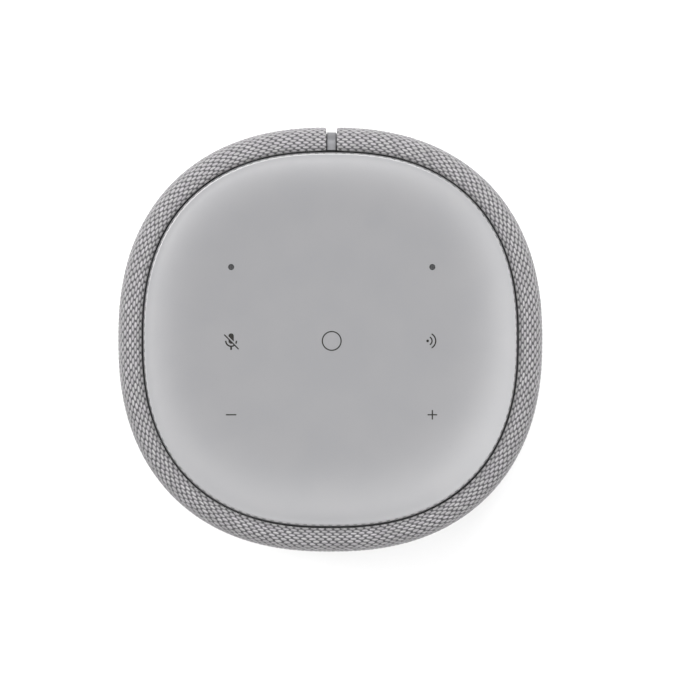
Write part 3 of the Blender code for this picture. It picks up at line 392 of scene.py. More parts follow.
WOOL = woven_wool()
PANEL_SKIN = soft_touch()
INK = key_print()
STRIP_METAL = brushed_metal("satin_aluminium", (0.150, 0.150, 0.158), 0.55, metallic=0.3)
BEZEL = moulded("grey_bezel", (0.13, 0.13, 0.135), 0.5, 2200.0, 0.03)
RUBBER = moulded("foot_rubber", (0.028, 0.028, 0.029), 0.8, 1500.0, 0.05, 0.5)
BASE = moulded("base_plastic", (0.10, 0.10, 0.104), 0.55, 1900.0, 0.04)
SOCKET = moulded("socket_plastic", (0.016, 0.016, 0.017), 0.42, 3000.0, 0.02, 0.4)
MESH = microphone_mesh()
BY_SLOT = {
    "cloth": WOOL,
    "panel": PANEL_SKIN,
    "grey_plastic": moulded("grey_moulding", (0.15, 0.15, 0.156), 0.55),
    "black_plastic": moulded("black_moulding", (0.022, 0.022, 0.024), 0.5),
    "clear_plastic": milky_plastic(),
    "rubber": RUBBER,
    "foam": fibre_wadding(),
    "aluminium": brushed_metal("plain_aluminium", (0.58, 0.59, 0.61), 0.4),
    "steel": brushed_metal("zinc_plated_steel", (0.50, 0.50, 0.49), 0.35, (1, 1, 0.2)),
    "ferrite": moulded("ferrite", (0.045, 0.045, 0.050), 0.6, 1400.0, 0.04, 0.5),
    "copper": brushed_metal("copper_winding", (0.62, 0.29, 0.14), 0.35, (0.05, 0.05, 4)),
    "paper": moulded("pressed_paper", (0.05, 0.05, 0.055), 0.85, 900.0, 0.06, 0.5),
    "silk": coated_silk(),
    "circuit_board": circuit_board(),
    "wire_jacket": moulded("wire_jacket", (0.03, 0.03, 0.032), 0.45, 1200.0, 0.02, 0.4),
}


# ---------------------------------------------------------------- shapes


def piece(name, mesh, finish, stands_for=(), body="housing"):
    """Puts a mesh in the scene as a piece of the speaker."""
    mesh.materials.clear()
    mesh.materials.append(finish.material)
    made = bpy.data.objects.new(name, mesh)
    bpy.context.scene.collection.objects.link(made)
    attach(made, body)
    if stands_for:
        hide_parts(*stands_for)
    return made


def smooth(mesh, angle=40):
    """Smooth shading, but for edges sharper than an angle in degrees."""
    mesh.shade_smooth()
    mesh.set_sharp_from_angle(angle=math.radians(angle))
    return mesh


def outline(inset, count=4096):
    """The body's outline at an inset, clockwise from the middle of the back.

    Gives its points, the run so far and the outward normals.
    """
    power = BODY_POWER + (PANEL_POWER - BODY_POWER) * min(inset / PANEL_INSET, 1)
    half = HALF - inset
    turn = math.pi / 2 - np.linspace(0, 2 * math.pi, count + 1)
    c, s = np.cos(turn), np.sin(turn)
    reach = (np.abs(c / half) ** power + np.abs(s / half) ** power) ** (-1 / power)
    x, y = reach * c, reach * s
    run = np.concatenate([[0], np.cumsum(np.hypot(np.diff(x), np.diff(y)))])
    nx = np.sign(x) * np.abs(x / half) ** (power - 1)
    ny = np.sign(y) * np.abs(y / half) ** (power - 1)
    size = np.hypot(nx, ny)
    return x, y, run, nx / size, ny / size


def run_to(across, x, run):
    """How far round from the middle of the back the outline reaches a distance to one side."""
    return np.interp(across, x[:200], run[:200])


def loop(inset, sides):
    """Evenly spaced points of the outline at an inset."""
    x, y, run, _, _ = outline(inset)
    at = np.linspace(0, run[-1], sides, endpoint=False)
    return np.interp(at, run, x), np.interp(at, run, y)


def ring_mesh(name, profile, sides=256):
    """A closed section of (inset, z) pairs carried round the body."""
    bm = bmesh.new()
    rows = []
    for inset, z in profile:
        x, y = loop(inset, sides)
        rows.append([bm.verts.new((x[i], y[i], z)) for i in range(sides)])
    for lower, upper in zip(rows, rows[1:] + rows[:1]):
        for i in range(sides):
            bm.faces.new((lower[i - 1], lower[i], upper[i], upper[i - 1]))
    return settle(name, bm)


def settle(name, bm):
    """Turns a closed bmesh into a mesh whose faces point out."""
    bmesh.ops.recalc_face_normals(bm, faces=bm.faces[:])
    if bm.calc_volume(signed=True) < 0:
        bmesh.ops.reverse_faces(bm, faces=bm.faces[:])
    mesh = bpy.data.meshes.new(name)
    bm.to_mesh(mesh)
    bm.free()
    return mesh


def corner(centre, radius, start, end, steps):
    """Points of an arc, between two angles in degrees."""
    turns = [math.radians(start + (end - start) * i / steps) for i in range(steps + 1)]
    return [(centre[0] + radius * math.cos(t), centre[1] + radius * math.sin(t)) for t in turns]


# ---------------------------------------------------------------- cloth


def face_run():
    """The cloth's face from inside the groove, over the shoulder and down to the hem.

    Gives insets, heights and the run so far.
    """
    points = [(LIP_INSET, CLOTH_TOP - LIP)]
    points += corner((LIP_INSET - LIP_ROUND, CLOTH_TOP - LIP_ROUND), LIP_ROUND, 0, 90, 8)
    steps = 60
    for step in range(steps + 1):
        turn = math.pi / 2 * (1 - step / steps)
        out = math.cos(turn) ** (2 / SHOULDER_POWER)
        up = math.sin(turn) ** (2 / SHOULDER_POWER)
        points.append((SHOULDER_WIDTH * (1 - out), CLOTH_TOP - SHOULDER_HEIGHT * (1 - up)))
    wall = CLOTH_TOP - SHOULDER_HEIGHT - CLOTH_BOTTOM - HEM_HEIGHT
    for step in range(1, 40):
        share = step / 40
        points.append((TAPER * min(share / 0.85, 1) ** 2, CLOTH_TOP - SHOULDER_HEIGHT - wall * share))
    for step in range(31):
        turn = math.pi / 2 * step / 30
        out = math.cos(turn) ** (2 / SHOULDER_POWER)
        down = math.sin(turn) ** (2 / SHOULDER_POWER)
        points.append((TAPER + HEM_WIDTH * (1 - out), CLOTH_BOTTOM + HEM_HEIGHT * (1 - down)))
    points.append((TAPER + HEM_WIDTH, CLOTH_BOTTOM + FABRIC))
    inset, z = np.array(points).T
    run = np.concatenate([[0], np.cumsum(np.hypot(np.diff(inset), np.diff(z)))])
    fine = np.arange(0, run[-1], 0.05 * MM)
    return np.interp(fine, run, inset), np.interp(fine, run, z), fine


def thread_rows(inset, run):
    """The number of rows down to each point of the run: even from above, never wider than ROW_DOWN."""
    level = np.abs(np.gradient(inset, run))
    density = np.maximum(level / ROW_ABOVE, 1 / ROW_DOWN)
    return np.concatenate([[0], np.cumsum(np.diff(run) * (density[1:] + density[:-1]) / 2)])


def float_height(along, across):
    """The relief of the weave, from 0 in the ground to 1 on top of a float."""
    stray_along, stray_across = wander(along, across, np.sin)
    along, across = along + stray_along, across + stray_across
    row = np.floor(across)
    shifted = along + (row % 2) * 0.5
    step = shifted - np.floor(shifted) - 0.5
    rise = across - row - 0.5
    leaned = rise + step * LEAN
    near = np.abs(step / FLOAT_LENGTH) ** FLOAT_BLUNT + (leaned / FLOAT_WIDTH) ** 2
    return np.sqrt(np.maximum(0, 1 - near))


def sleeve_columns():
    """Where the mesh columns lie: share of the way round, tuck behind the edge, and float pitches.

    Also says which columns go on below the fine rows, and how long the cloth is.
    """
    _, _, run, _, _ = outline(SHOULDER_WIDTH / 2)
    length = run[-1] - 2 * SLOT_HALF
    pitches = round(length / FLOAT_PITCH)
    steps = np.arange(1, pitches * FINE_ALONG) / (pitches * FINE_ALONG)
    near = np.array([0, 0.05 * MM, 0.15 * MM]) / length
    share = np.concatenate([[0, 0], near, steps, 1 - near[::-1], [1, 1]])
    tuck = np.zeros(len(share))
    tuck[:2] = tuck[-2:][::-1] = EDGE_TUCK
    coarse = np.ones(len(share), bool)
    coarse[EDGE_COLUMNS:-EDGE_COLUMNS] = np.arange(1, pitches * FINE_ALONG) % FINE_ACROSS == 0
    return share, tuck, share * pitches, coarse, length


def sleeve_rows(run, rows):
    """The mesh rows, counted in rows of the weave, and the first and last of the fine ones."""
    start = math.ceil(rows[np.searchsorted(run, LIP - FINE_DEPTH)])
    end = start + FINE_ROWS
    levels = [rows[0], (rows[0] + start) / 2]
    first = len(levels)
    levels += list(start + np.arange(FINE_ROWS * FINE_ACROSS + 1) / FINE_ACROSS)
    last = len(levels) - 1
    rest = rows[-1] - end
    side = round(rest / COARSE_STEP)
    levels += list(end + rest * np.arange(1, side + 1) / side)
    return np.array(levels), first, last


def face_normals(at, inset, z, run):
    """The face's normals at places of its run: their height and inset."""
    slope = np.gradient(np.stack([inset, z]), run, axis=1)
    up, inward = np.interp(at, run, -slope[0]), np.interp(at, run, slope[1])
    size = np.hypot(up, inward)
    return up / size, inward / size


def columns_round(inset, share):
    """The columns on the outline at an inset: places, normals and distances from the slot."""
    x, y, line, nx, ny = outline(inset)
    first = run_to(SLOT_HALF + SLOT_MIDDLE, x, line)
    last = run_to(SLOT_HALF - SLOT_MIDDLE, x, line)
    span = line[-1] - first - last
    place = first + share * span
    px, py = np.interp(place, line, x), np.interp(place, line, y)
    ox, oy = np.interp(place, line, nx), np.interp(place, line, ny)
    return px, py, ox, oy, np.minimum(share, 1 - share) * span


def relief_share(row, first, last):
    """How much of the threads' relief a mesh row has. It fades in over 2 rows and out over 12."""
    return max(0, min(1, (row - first) / 2, (last - row) / 12))


def sink_at_edges(edge, tuck, z):
    """How far the cloth dips at its edges: rounded above the inlet, and tucked in everywhere."""
    if z <= FRAME_HIGH.z - 1 * MM:
        return tuck
    dip = EDGE_BEND - np.sqrt(np.maximum(0, EDGE_BEND**2 - (EDGE_BEND - edge) ** 2))
    return np.where(edge < EDGE_BEND, dip, 0) + tuck


def fabric():
    """The woven sleeve, with real threads over the shoulder and plain cloth down the sides."""
    inset, z, run = face_run()
    rows = thread_rows(inset, run)
    share, tuck, pitches, coarse, length = sleeve_columns()
    levels, fine_first, fine_last = sleeve_rows(run, rows)
    at = np.interp(levels, rows, run)
    row_inset, row_z = np.interp(at, run, inset), np.interp(at, run, z)
    up, inward = face_normals(at, inset, z, run)
    bm = bmesh.new()
    grid, weave = [], {}
    for i, level in enumerate(levels):
        px, py, ox, oy, edge = columns_round(max(row_inset[i], 0), share)
        rise = (float_height(pitches, level) - THREAD_MIDDLE) * THREAD_RISE
        lift = rise * relief_share(i, fine_first, fine_last)
        shift = lift - sink_at_edges(edge, tuck, row_z[i])
        vx, vy = px + ox * -inward[i] * shift, py + oy * -inward[i] * shift
        vz = row_z[i] + up[i] * shift
        fine = fine_first <= i <= fine_last
        line_up = [None] * len(share)
        for k in range(len(share)):
            if fine or coarse[k]:
                line_up[k] = bm.verts.new((vx[k], vy[k], vz[k]))
                weave[line_up[k]] = (pitches[k], level, i)
        grid.append(line_up)
    fill_rows(bm, grid)
    close_back(bm, grid, row_z, weave)
    for v in [v for v in bm.verts if not v.link_faces]:
        bm.verts.remove(v)
    snap_to_window(bm)
    chart_weave(bm, weave, at, pitches[-1], length)
    bm.normal_update()
    mesh = bpy.data.meshes.new("woven_sleeve")
    bm.to_mesh(mesh)
    bm.free()
    mesh.shade_smooth()
    made = piece("woven_sleeve", mesh, WOOL, ["fabric_sleeve"])
    length + 2 * SLOT_HALF


def in_window(verts):
    """Whether the middle of some points lies in the window round the inlet."""
    middle = sum((v.co for v in verts), Vector()) / len(verts)
    in_height = WINDOW_LOW < middle.z < WINDOW_HIGH
    return middle.y > 0 and WINDOW_LEFT < middle.x < WINDOW_RIGHT and in_height


def fill_rows(bm, grid):
    """Faces between the rows. Where fine columns meet coarse ones, a face takes in all the fine points."""
    for upper, lower in zip(grid, grid[1:]):
        marks = [k for k in range(len(upper)) if upper[k] and lower[k]]
        for a, b in zip(marks, marks[1:]):
            top = [upper[k] for k in range(a, b + 1) if upper[k]]
            bottom = [lower[k] for k in range(b, a - 1, -1) if lower[k]]
            if not in_window(top + bottom):
                bm.faces.new(top + bottom)


def chart_weave(bm, weave, at, total, length):
    """Two charts: one counts pitches and rows for the weave, the other lays the cloth out flat."""
    chart = bm.loops.layers.uv.new("weave")
    unrolled = bm.loops.layers.uv.new("OFBake")
    for face in bm.faces:
        for face_corner in face.loops:
            along, level, i = weave[face_corner.vert]
            face_corner[chart].uv = (along, level)
            flat = (0.97 * (along + 1) / (total + 3), 0.97 * at[i] / (length * 1.02))
            face_corner[unrolled].uv = (0.01 + flat[0], 0.01 + flat[1])


def close_back(bm, grid, row_z, weave):
    """Below the inlet the two ends of the cloth meet in a seam."""
    steps = 4
    bridges = []
    for i in [i for i, z in enumerate(row_z) if z < WINDOW_LOW + 1 * MM]:
        right, left = grid[i][2], grid[i][-3]
        along, level, _ = weave[left]
        line_up = [left]
        for s in range(1, steps):
            vert = bm.verts.new(left.co.lerp(right.co, s / steps))
            weave[vert] = (along + SEAM_PITCHES * s / steps, level, i)
            line_up.append(vert)
        last = bm.verts.new(right.co)
        weave[last] = (along + SEAM_PITCHES, level, i)
        bridges.append(line_up + [last])
    for upper, lower in zip(bridges, bridges[1:]):
        for k in range(steps):
            bm.faces.new((upper[k], upper[k + 1], lower[k + 1], lower[k]))


def snap_to_window(bm):
    """Draws the cut edge of the cloth round the inlet onto a rounded rectangle."""
    middle_x, middle_z = (WINDOW_LEFT + WINDOW_RIGHT) / 2, (WINDOW_LOW + WINDOW_HIGH) / 2
    half_x = (WINDOW_RIGHT - WINDOW_LEFT) / 2 - WINDOW_ROUND
    half_z = (WINDOW_HIGH - WINDOW_LOW) / 2 - WINDOW_ROUND
    for edge in bm.edges:
        if len(edge.link_faces) != 1:
            continue
        for v in edge.verts:
            dx, dz = v.co.x - middle_x, v.co.z - middle_z
            away = abs(dx) > half_x + 2 * WINDOW_ROUND or abs(dz) > half_z + 2 * WINDOW_ROUND
            if v.co.y < 0 or away or abs(dx) < SLOT_HALF * 1.05:
                continue
            kx, kz = max(-half_x, min(half_x, dx)), max(-half_z, min(half_z, dz))
            gap = math.hypot(dx - kx, dz - kz)
            if gap > 1e-6:
                v.co.x = middle_x + kx + (dx - kx) / gap * WINDOW_ROUND
                v.co.z = middle_z + kz + (dz - kz) / gap * WINDOW_ROUND


# ---------------------------------------------------------------- panel and its marks


def panel_z(x, y):
    """The panel's face above a place."""
    reach = (abs(x / PANEL_HALF) ** PANEL_POWER + abs(y / PANEL_HALF) ** PANEL_POWER) ** (1 / PANEL_POWER)
    return PANEL_HIGH.z - CROWN * (max(0, reach - PANEL_FLAT) / (1 - PANEL_FLAT)) ** 3


def touch_panel():
    """The crowned panel with its rounded edge, drilled for the two microphones."""
    sides = 288
    x, y = loop(PANEL_INSET, sides)
    bm = bmesh.new()
    middle = bm.verts.new((0, 0, PANEL_HIGH.z))
    rows = []
    shares = [0.03 * i for i in range(1, 33)] + [1 - PANEL_RIM / PANEL_HALF]
    for share in shares:
        places = [(share * x[i], share * y[i]) for i in range(sides)]
        rows.append([bm.verts.new((*place, panel_z(*place))) for place in places])
    edge_z = panel_z(shares[-1] * PANEL_HALF, 0)
    for inset, z in corner((PANEL_RIM, edge_z - PANEL_RIM), PANEL_RIM, 90, 180, 8)[1:]:
        share = 1 - inset / PANEL_HALF
        rows.append([bm.verts.new((share * x[i], share * y[i], z)) for i in range(sides)])
    rows.append([bm.verts.new((x[i], y[i], PANEL_LOW.z)) for i in range(sides)])
    for i in range(sides):
        bm.faces.new((middle, rows[0][i - 1], rows[0][i]))
    for lower, upper in zip(rows, rows[1:]):
        for i in range(sides):
            bm.faces.new((lower[i - 1], lower[i], upper[i], upper[i - 1]))
    bm.faces.new(rows[-1])
    made = piece("touch_panel", smooth(settle("touch_panel", bm)), PANEL_SKIN, ["top_panel"])
    for column in (-1, 1):
        drill(made, Vector((*key_place(column, 1), PANEL_HIGH.z)), MIC_HOLE)


def microphone_windows():
    """A disc of woven wire a little below each hole's mouth."""
    for column, side in ((-1, "left"), (1, "right")):
        x, y = key_place(column, 1)
        face = panel_z(x, y) - 0.35 * MM
        reach = MIC_HOLE + 0.2 * MM
        profile = [(0, face), (0.6 * reach, face - 0.02 * MM), (reach, face - 0.10 * MM)]
        profile += [(reach, face - 0.25 * MM), (0, face - 0.25 * MM)]
        mesh = turned_disc(f"mic_window_{side}", profile, (x, y))
        piece(f"mic_window_{side}", mesh, MESH, [f"mic_mesh_{side}"])


def turned_disc(name, profile, at, sides=32):
    """A closed round piece from (radius, height) pairs, the first and last of them on its axis."""
    bm = bmesh.new()
    turns = [2 * math.pi * i / sides for i in range(sides)]
    circle = [(math.cos(turn), math.sin(turn)) for turn in turns]
    rows = [[bm.verts.new((*at, profile[0][1]))] * sides]
    for radius, z in profile[1:-1]:
        rows.append([bm.verts.new((at[0] + radius * c, at[1] + radius * s, z)) for c, s in circle])
    rows.append([bm.verts.new((*at, profile[-1][1]))] * sides)
    for upper, lower in zip(rows, rows[1:]):
        for i in range(sides):
            corners = dict.fromkeys((upper[i - 1], upper[i], lower[i], lower[i - 1]))
            bm.faces.new(list(corners))
    return smooth(settle(name, bm))


def drill(target, centre, radius):
    """Cuts a round hole straight down."""
    bm = bmesh.new()
    bmesh.ops.create_cone(bm, cap_ends=True, segments=40, radius1=radius, radius2=radius, depth=12 * MM)
    mesh = bpy.data.meshes.new("drill")
    bm.to_mesh(mesh)
    bm.free()
    tool = bpy.data.objects.new("drill", mesh)
    tool.location = centre
    bpy.context.scene.collection.objects.link(tool)
    modifier = target.modifiers.new("drill", "BOOLEAN")
    modifier.solver = "EXACT"
    modifier.object = tool
    bpy.context.view_layer.update()
    evaluated = target.evaluated_get(bpy.context.evaluated_depsgraph_get())
    result = bpy.data.meshes.new_from_object(evaluated)
    target.modifiers.remove(modifier)
    target.data = result
    bpy.data.objects.remove(tool)


def ring_sector(centre, inner, outer, start, end, steps=24):
    """A part of a flat ring, between two angles in degrees."""
    return corner(centre, outer, start, end, steps) + corner(centre, inner, end, start, steps)


def capsule(centre, half_width, half_height):
    """An upright shape with round ends."""
    straight = half_height - half_width
    x, y = centre
    top = corner((x, y + straight), half_width, 0, 180, 14)
    return top + corner((x, y - straight), half_width, 180, 360, 14)


def bar(start, end, width):
    """A straight stroke with round ends."""
    turn = math.degrees(math.atan2(end[1] - start[1], end[0] - start[0]))
    far_end = corner(end, width / 2, turn - 90, turn + 90, 8)
    return far_end + corner(start, width / 2, turn + 90, turn + 270, 8)


def beyond(points, direction, limit):
    """What of an outline lies past a line: where its reach along direction is over limit."""
    kept = []
    for a, b in zip(points, points[1:] + points[:1]):
        da = a[0] * direction[0] + a[1] * direction[1] - limit
        db = b[0] * direction[0] + b[1] * direction[1] - limit
        if da >= 0:
            kept.append(a)
        if (da >= 0) != (db >= 0):
            share = da / (da - db)
            kept.append((a[0] + (b[0] - a[0]) * share, a[1] + (b[1] - a[1]) * share))
    return kept


def key_place(column, row):
    """The middle of a key, counted from the centre one."""
    return KEY_CENTRE.x + column * KEY_PITCH.x, KEY_CENTRE.y + row * KEY_PITCH.y


def mark(name, at, shapes):
    """A printed mark: flat shapes in millimetres about a place on the panel, laid on its face."""
    bm = bmesh.new()
    for shape in shapes:
        places = [(at[0] + x * MM, at[1] + y * MM) for x, y in shape]
        top = [bm.verts.new((*place, panel_z(*place) + 0.03 * MM)) for place in places]
        foot_line = [bm.verts.new((*place, panel_z(*place) - 0.2 * MM)) for place in places]
        bm.faces.new(top)
        bm.faces.new(foot_line[::-1])
        for i in range(len(top)):
            bm.faces.new((top[i - 1], foot_line[i - 1], foot_line[i], top[i]))
    bmesh.ops.recalc_face_normals(bm, faces=bm.faces[:])
    mesh = bpy.data.meshes.new(name)
    bm.to_mesh(mesh)
    bm.free()
    piece(name, mesh, INK)


def key_marks():
    """The flush print: muted microphone, centre ring, pairing waves, minus and plus."""
    across = (math.sqrt(0.5), math.sqrt(0.5))  # square to the slash of the muted microphone
    head = capsule((0, 0.78), 0.88, 1.72)
    cradle = ring_sector((0, -0.02), 1.50, 2.0, 178, 362, 30)
    slash = bar((-2.15, 1.95), (2.35, -2.60), 0.42)
    back = (-across[0], -across[1])
    under, over = -0.05, 0.44  # the gap that the slash cuts in the microphone
    mute = [
        beyond(head, across, over),
        beyond(head, back, -under),
        beyond(cradle, across, over),
        beyond(cradle, back, -under),
        slash,
        [(-0.30, -1.9), (0.30, -1.9), (0.30, -2.95), (-0.30, -2.95)],
    ]
    mark("mute_mark", key_place(-1, 0), mute)
    halves = [ring_sector((0, 0), 2.88, 3.28, start, start + 180, 48) for start in (0, 180)]
    mark("centre_mark", key_place(0, 0), halves)
    waves = [corner((-1.55, 0), 0.45, 0, 345, 23)]
    waves += [ring_sector((-1.55, 0), r - 0.22, r + 0.22, -60, 60, 20) for r in (1.45, 2.65)]
    mark("pairing_mark", key_place(1, 0), waves)
    mark("minus_mark", key_place(-1, -1), [bar((-1.55, 0), (1.55, 0), 0.42)])
    mark("plus_mark", key_place(1, -1), [bar((-1.4, 0), (1.4, 0), 0.42), bar((0, -1.4), (0, 1.4), 0.42)])


def edge_thread():
    """The last turned-in row of threads, tucked against the panel's edge."""
    x, y, run, nx, ny = outline(PANEL_INSET + 0.45 * MM)
    first = run_to(SLOT_HALF, x, run)
    span = run[-1] - 2 * first
    pitches = round(span / FLOAT_PITCH)
    share = np.arange(pitches * 10 + 1) / (pitches * 10)
    place = np.concatenate([first * np.array([-1, -0.98, 0.98]), first + share * span]) % run[-1]
    phase = np.concatenate([[-0.5, -0.5, -0.5], share * pitches])  # one plain stretch crosses the slot
    px, py = np.interp(place, run, x), np.interp(place, run, y)
    ox, oy = np.interp(place, run, nx), np.interp(place, run, ny)
    swell = 0.80 + 0.20 * np.sqrt(np.maximum(0, 1 - ((phase % 1 - 0.5) / 0.38) ** 2))
    z = CLOTH_TOP - 0.06 * MM
    wide, tall = 0.27 * MM, 0.25 * MM
    sides = 8
    bm = bmesh.new()
    chart = bm.loops.layers.uv.new("weave")
    lines = []
    count = len(phase) - 1
    for k in range(count + 1):
        ring = []
        for j in range(sides):
            turn = 2 * math.pi * j / sides
            out, up = wide * swell[k] * math.cos(turn), tall * swell[k] * math.sin(turn)
            ring.append(bm.verts.new((px[k] + ox[k] * out, py[k] + oy[k] * out, z + up)))
        lines.append(ring)
    for k in range(count):
        for j in range(sides):
            face = bm.faces.new((lines[k][j - 1], lines[k][j], lines[k + 1][j], lines[k + 1][j - 1]))
            corners = ((k, j - 1), (k, j), (k + 1, j), (k + 1, j - 1))
            for face_corner, (row, column) in zip(face.loops, corners):
                face_corner[chart].uv = (phase[row], (column % sides) / sides)
    bm.faces.new(lines[0])
    bm.faces.new(lines[-1])
    mesh = smooth(settle("edge_thread", bm), 80)
    piece("edge_thread", mesh, tucked_thread())


def tucked_thread():
    """Light floats between short grey dashes."""
    yarn = Finish("tucked_thread", Roughness=0.8, Sheen_Weight=0.3)
    along, _ = yarn.chart("weave")
    step = (along - along.floor() - 0.5).size()
    fibres = yarn.noise(yarn.place(), 2600.0, 3.0)
    light = yarn.blend(fibres, (0.175, 0.172, 0.175), (0.235, 0.232, 0.235))
    yarn.feed("Base Color", yarn.blend(step.ease(0.22, 0.36), light, (0.075, 0.075, 0.076)))
    yarn.relief(fibres, 0.08 * MM)
    return yarn


# ---------------------------------------------------------------- back, base and inlet


def band(name, half, face, thick, edge, finish, stands_for=()):
    """A band that follows the back from the groove to the inlet, its face at a depth under the cloth's."""
    inset, z, _ = face_run()
    keep = (z > STRIP_LOW.z) & (np.arange(len(z)) > np.argmax(z))
    inset, z = inset[keep], z[keep]
    bend = 320  # how many points of the run lie over the shoulder
    stops = [*range(0, bend, 8), *range(bend, len(z), 120), len(z) - 1]
    slope = np.stack([np.gradient(inset), np.gradient(z)])
    slope /= np.hypot(*slope)
    inset[0] = LIP_INSET - 0.25 * MM  # the top end runs in over the lip
    section = [(-half, -thick)] + corner((edge - half, -edge), edge, 180, 90, 3)
    section += corner((half - edge, -edge), edge, 90, 0, 3) + [(half, -thick)]
    bm = bmesh.new()
    rows = []
    for k in sorted(set(stops)):
        out, up = -slope[1][k], -slope[0][k]
        row = []
        for x, rise in section:
            over = rise - face
            row.append(bm.verts.new((SLOT_MIDDLE + x, HALF - inset[k] + out * over, z[k] + up * over)))
        rows.append(row)
    for lower, upper in zip(rows, rows[1:]):
        for i in range(len(section)):
            bm.faces.new((lower[i - 1], lower[i], upper[i], upper[i - 1]))
    bm.faces.new(rows[0])
    bm.faces.new(rows[-1])
    piece(name, smooth(settle(name, bm), 50), finish, stands_for)


def back_strip():
    """The metal strip and the dark carrier that it is bonded to."""
    recess = HALF - STRIP_HIGH.y
    half = (STRIP_HIGH.x - STRIP_LOW.x) / 2 + 0.05 * MM
    band("metal_strip", half, recess, 0.5 * MM, 0.2 * MM, STRIP_METAL, ["back_strip"])
    half = SLOT_HALF - 0.02 * MM
    band("strip_carrier", half, recess + 0.55 * MM, 0.9 * MM, 0.1 * MM, SOCKET)


def rounded(half_x, half_z, radius, y):
    """A rounded rectangle that faces the back, round the inlet's middle."""
    middle = (FRAME_LOW + FRAME_HIGH) / 2
    points = []
    for start, sx, sz in ((0, 1, 1), (90, -1, 1), (180, -1, -1), (270, 1, -1)):
        points += corner((sx * (half_x - radius), sz * (half_z - radius)), radius, start, start + 90, 8)
    return [(middle.x + x, y, middle.z + z) for x, z in points]


def inlet_bezel():
    """The frame round the mains inlet, with a flange that covers the cloth's cut edge."""
    half = (FRAME_HIGH - FRAME_LOW) / 2
    hole = (INLET_HIGH - INLET_LOW) / 2
    flange, face = 1.3 * MM, 69.3 * MM
    # Half width, half height, corner radius and place along Y
    sections = [
        (hole.x + 0.3 * MM, hole.z + 0.3 * MM, 0.8 * MM, face - 4.0 * MM),
        (hole.x + 0.3 * MM, hole.z + 0.3 * MM, 0.8 * MM, face - 0.8 * MM),
        (hole.x + 0.9 * MM, hole.z + 0.9 * MM, 1.4 * MM, face - 0.1 * MM),
        (hole.x + 1.1 * MM, hole.z + 1.1 * MM, 1.6 * MM, face),
        (half.x + flange - 0.5 * MM, half.z + flange - 0.5 * MM, 3.6 * MM, face),
        (half.x + flange - 0.1 * MM, half.z + flange - 0.1 * MM, 4.0 * MM, face - 0.2 * MM),
        (half.x + flange, half.z + flange, 4.1 * MM, face - 0.6 * MM),
        (half.x + flange, half.z + flange, 4.1 * MM, face - 2.0 * MM),
        (half.x, half.z, 3.0 * MM, face - 2.2 * MM),
        (half.x, half.z, 3.0 * MM, face - 4.0 * MM),
    ]
    bm = bmesh.new()
    rings = [[bm.verts.new(place) for place in rounded(*section)] for section in sections]
    for lower, upper in zip(rings, rings[1:] + rings[:1]):
        for i in range(len(lower)):
            bm.faces.new((lower[i - 1], lower[i], upper[i], upper[i - 1]))
    mesh = smooth(settle("inlet_bezel", bm), 30)
    piece("inlet_bezel", mesh, BEZEL, ["inlet_frame"])


def foot():
    """The rubber ring that it stands on."""
    outer, top = HALF - FOOT_HIGH.x, FOOT_HIGH.z
    inner = outer + 9 * MM
    edge = 0.8 * MM
    profile = [(inner, 0.0), (outer + 2 * edge, 0.0)]
    profile += corner((outer + edge, edge), edge, 270, 180, 6) + [(outer, top), (inner, top)]
    piece("foot_ring", smooth(ring_mesh("foot_ring", profile)), RUBBER, ["rubber_foot"])


def dress_nodes():
    """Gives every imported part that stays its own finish."""
    slots = {part["node"]: part["material_slot"] for part in frame["record"]["subparts"]}
    special = {
        "mic_mesh_left": MESH,
        "mic_mesh_right": MESH,
        "inlet_frame": BEZEL,
        "mains_inlet": SOCKET,
        "base_plate": BASE,
    }
    for name, node in frame["nodes"].items():
        finish = special.get(name) or BY_SLOT[slots[name]]
        node.data.materials.clear()
        node.data.materials.append(finish.material)


# ---------------------------------------------------------------- stage


def table_top():
    """A wide pale floor."""
    bm = bmesh.new()
    bmesh.ops.create_grid(bm, x_segments=1, y_segments=1, size=8)
    mesh = bpy.data.meshes.new("floor")
    bm.to_mesh(mesh)
    bm.free()
    floor = bpy.data.objects.new("floor", mesh)
    bpy.context.scene.collection.objects.link(floor)
    paint = Finish("pale_floor", Specular_IOR_Level=0.1)
    cloud = paint.noise(paint.place(), 3.0)
    paint.feed("Base Color", paint.blend(cloud, (0.845, 0.845, 0.845), (0.855, 0.855, 0.855)))
    paint.feed("Roughness", 0.85 + cloud * 0.1)
    mesh.materials.append(paint.material)


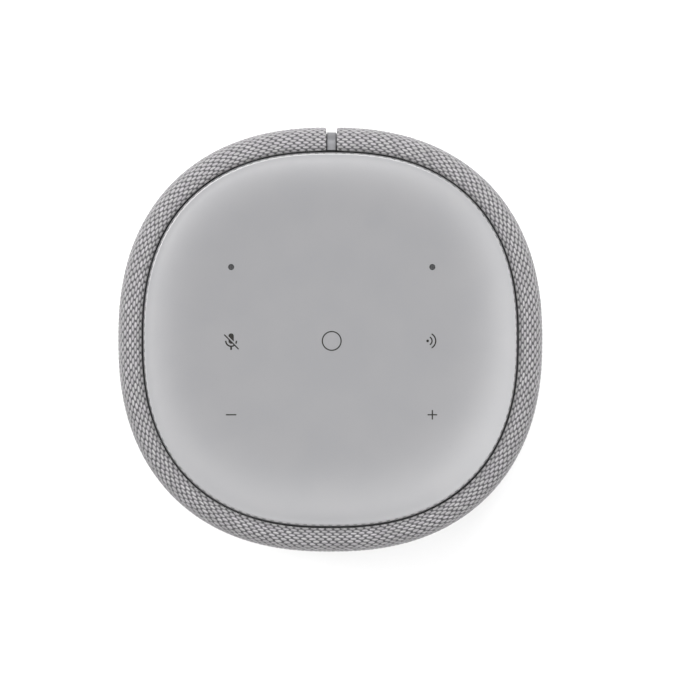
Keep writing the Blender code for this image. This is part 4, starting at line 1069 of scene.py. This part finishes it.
def softbox(name, at, size, power, towards=(0, 0, 0.1)):
    """A wide lamp that the camera doesn't see."""
    lamp = bpy.data.lights.new(name, "AREA")
    lamp.shape = "RECTANGLE"
    lamp.size, lamp.size_y = size
    lamp.energy = power
    made = bpy.data.objects.new(name, lamp)
    made.location = at
    made.rotation_euler = (Vector(towards) - Vector(at)).to_track_quat("-Z", "Y").to_euler()
    made.visible_camera = False
    bpy.context.scene.collection.objects.link(made)


# Soft boxes round the top's middle: turn from +X, lean from straight up, and power
SOFT_BOXES = (
    (0, 24, 2.2), (45, 24, 3.0), (135, 24, 0.5), (180, 24, 1.4), (225, 24, 3.3), (315, 24, 4.0),
    (285, 14, 3.2),
    (0, 42, 7.2), (45, 42, 6.4), (90, 42, 20.5), (135, 42, 25), (180, 42, 9.3),
    (0, 56, 8), (90, 56, 10), (180, 56, 7), (225, 56, 6), (315, 56, 13),
)
BOX_REACH = 2.0


def studio():
    """An even grey room with the soft boxes in it."""
    world = bpy.data.worlds.new("soft_room")
    bpy.context.scene.world = world
    world.use_nodes = True
    world.node_tree.nodes["Background"].inputs["Color"].default_value = (1, 1, 1, 1)
    world.node_tree.nodes["Background"].inputs["Strength"].default_value = 0.12
    middle = Vector((0, 0, PANEL_HIGH.z))
    for turn, lean, power in SOFT_BOXES:
        t, p = math.radians(turn), math.radians(lean)
        way = Vector((math.sin(p) * math.cos(t), math.sin(p) * math.sin(t), math.cos(p)))
        softbox(f"box_{turn}_{lean}", middle + BOX_REACH * way, (1.3, 0.6), power)
    bpy.context.scene.view_settings.view_transform = "Standard"
    bpy.context.scene.view_settings.look = "None"


def camera():
    """Straight above, with the body a little up and to the left of the middle."""
    lens = bpy.data.cameras.new("camera")
    lens.sensor_width = 36
    lens.lens = 390.8
    lens.clip_end = 50
    made = bpy.data.objects.new("camera", lens)
    made.location = (6.51 * MM, -3.49 * MM, 2.688)
    bpy.context.scene.collection.objects.link(made)
    bpy.context.scene.camera = made


dress_nodes()
fabric()
touch_panel()
key_marks()
edge_thread()
back_strip()
inlet_bezel()
foot()
microphone_windows()
table_top()
studio()
camera()
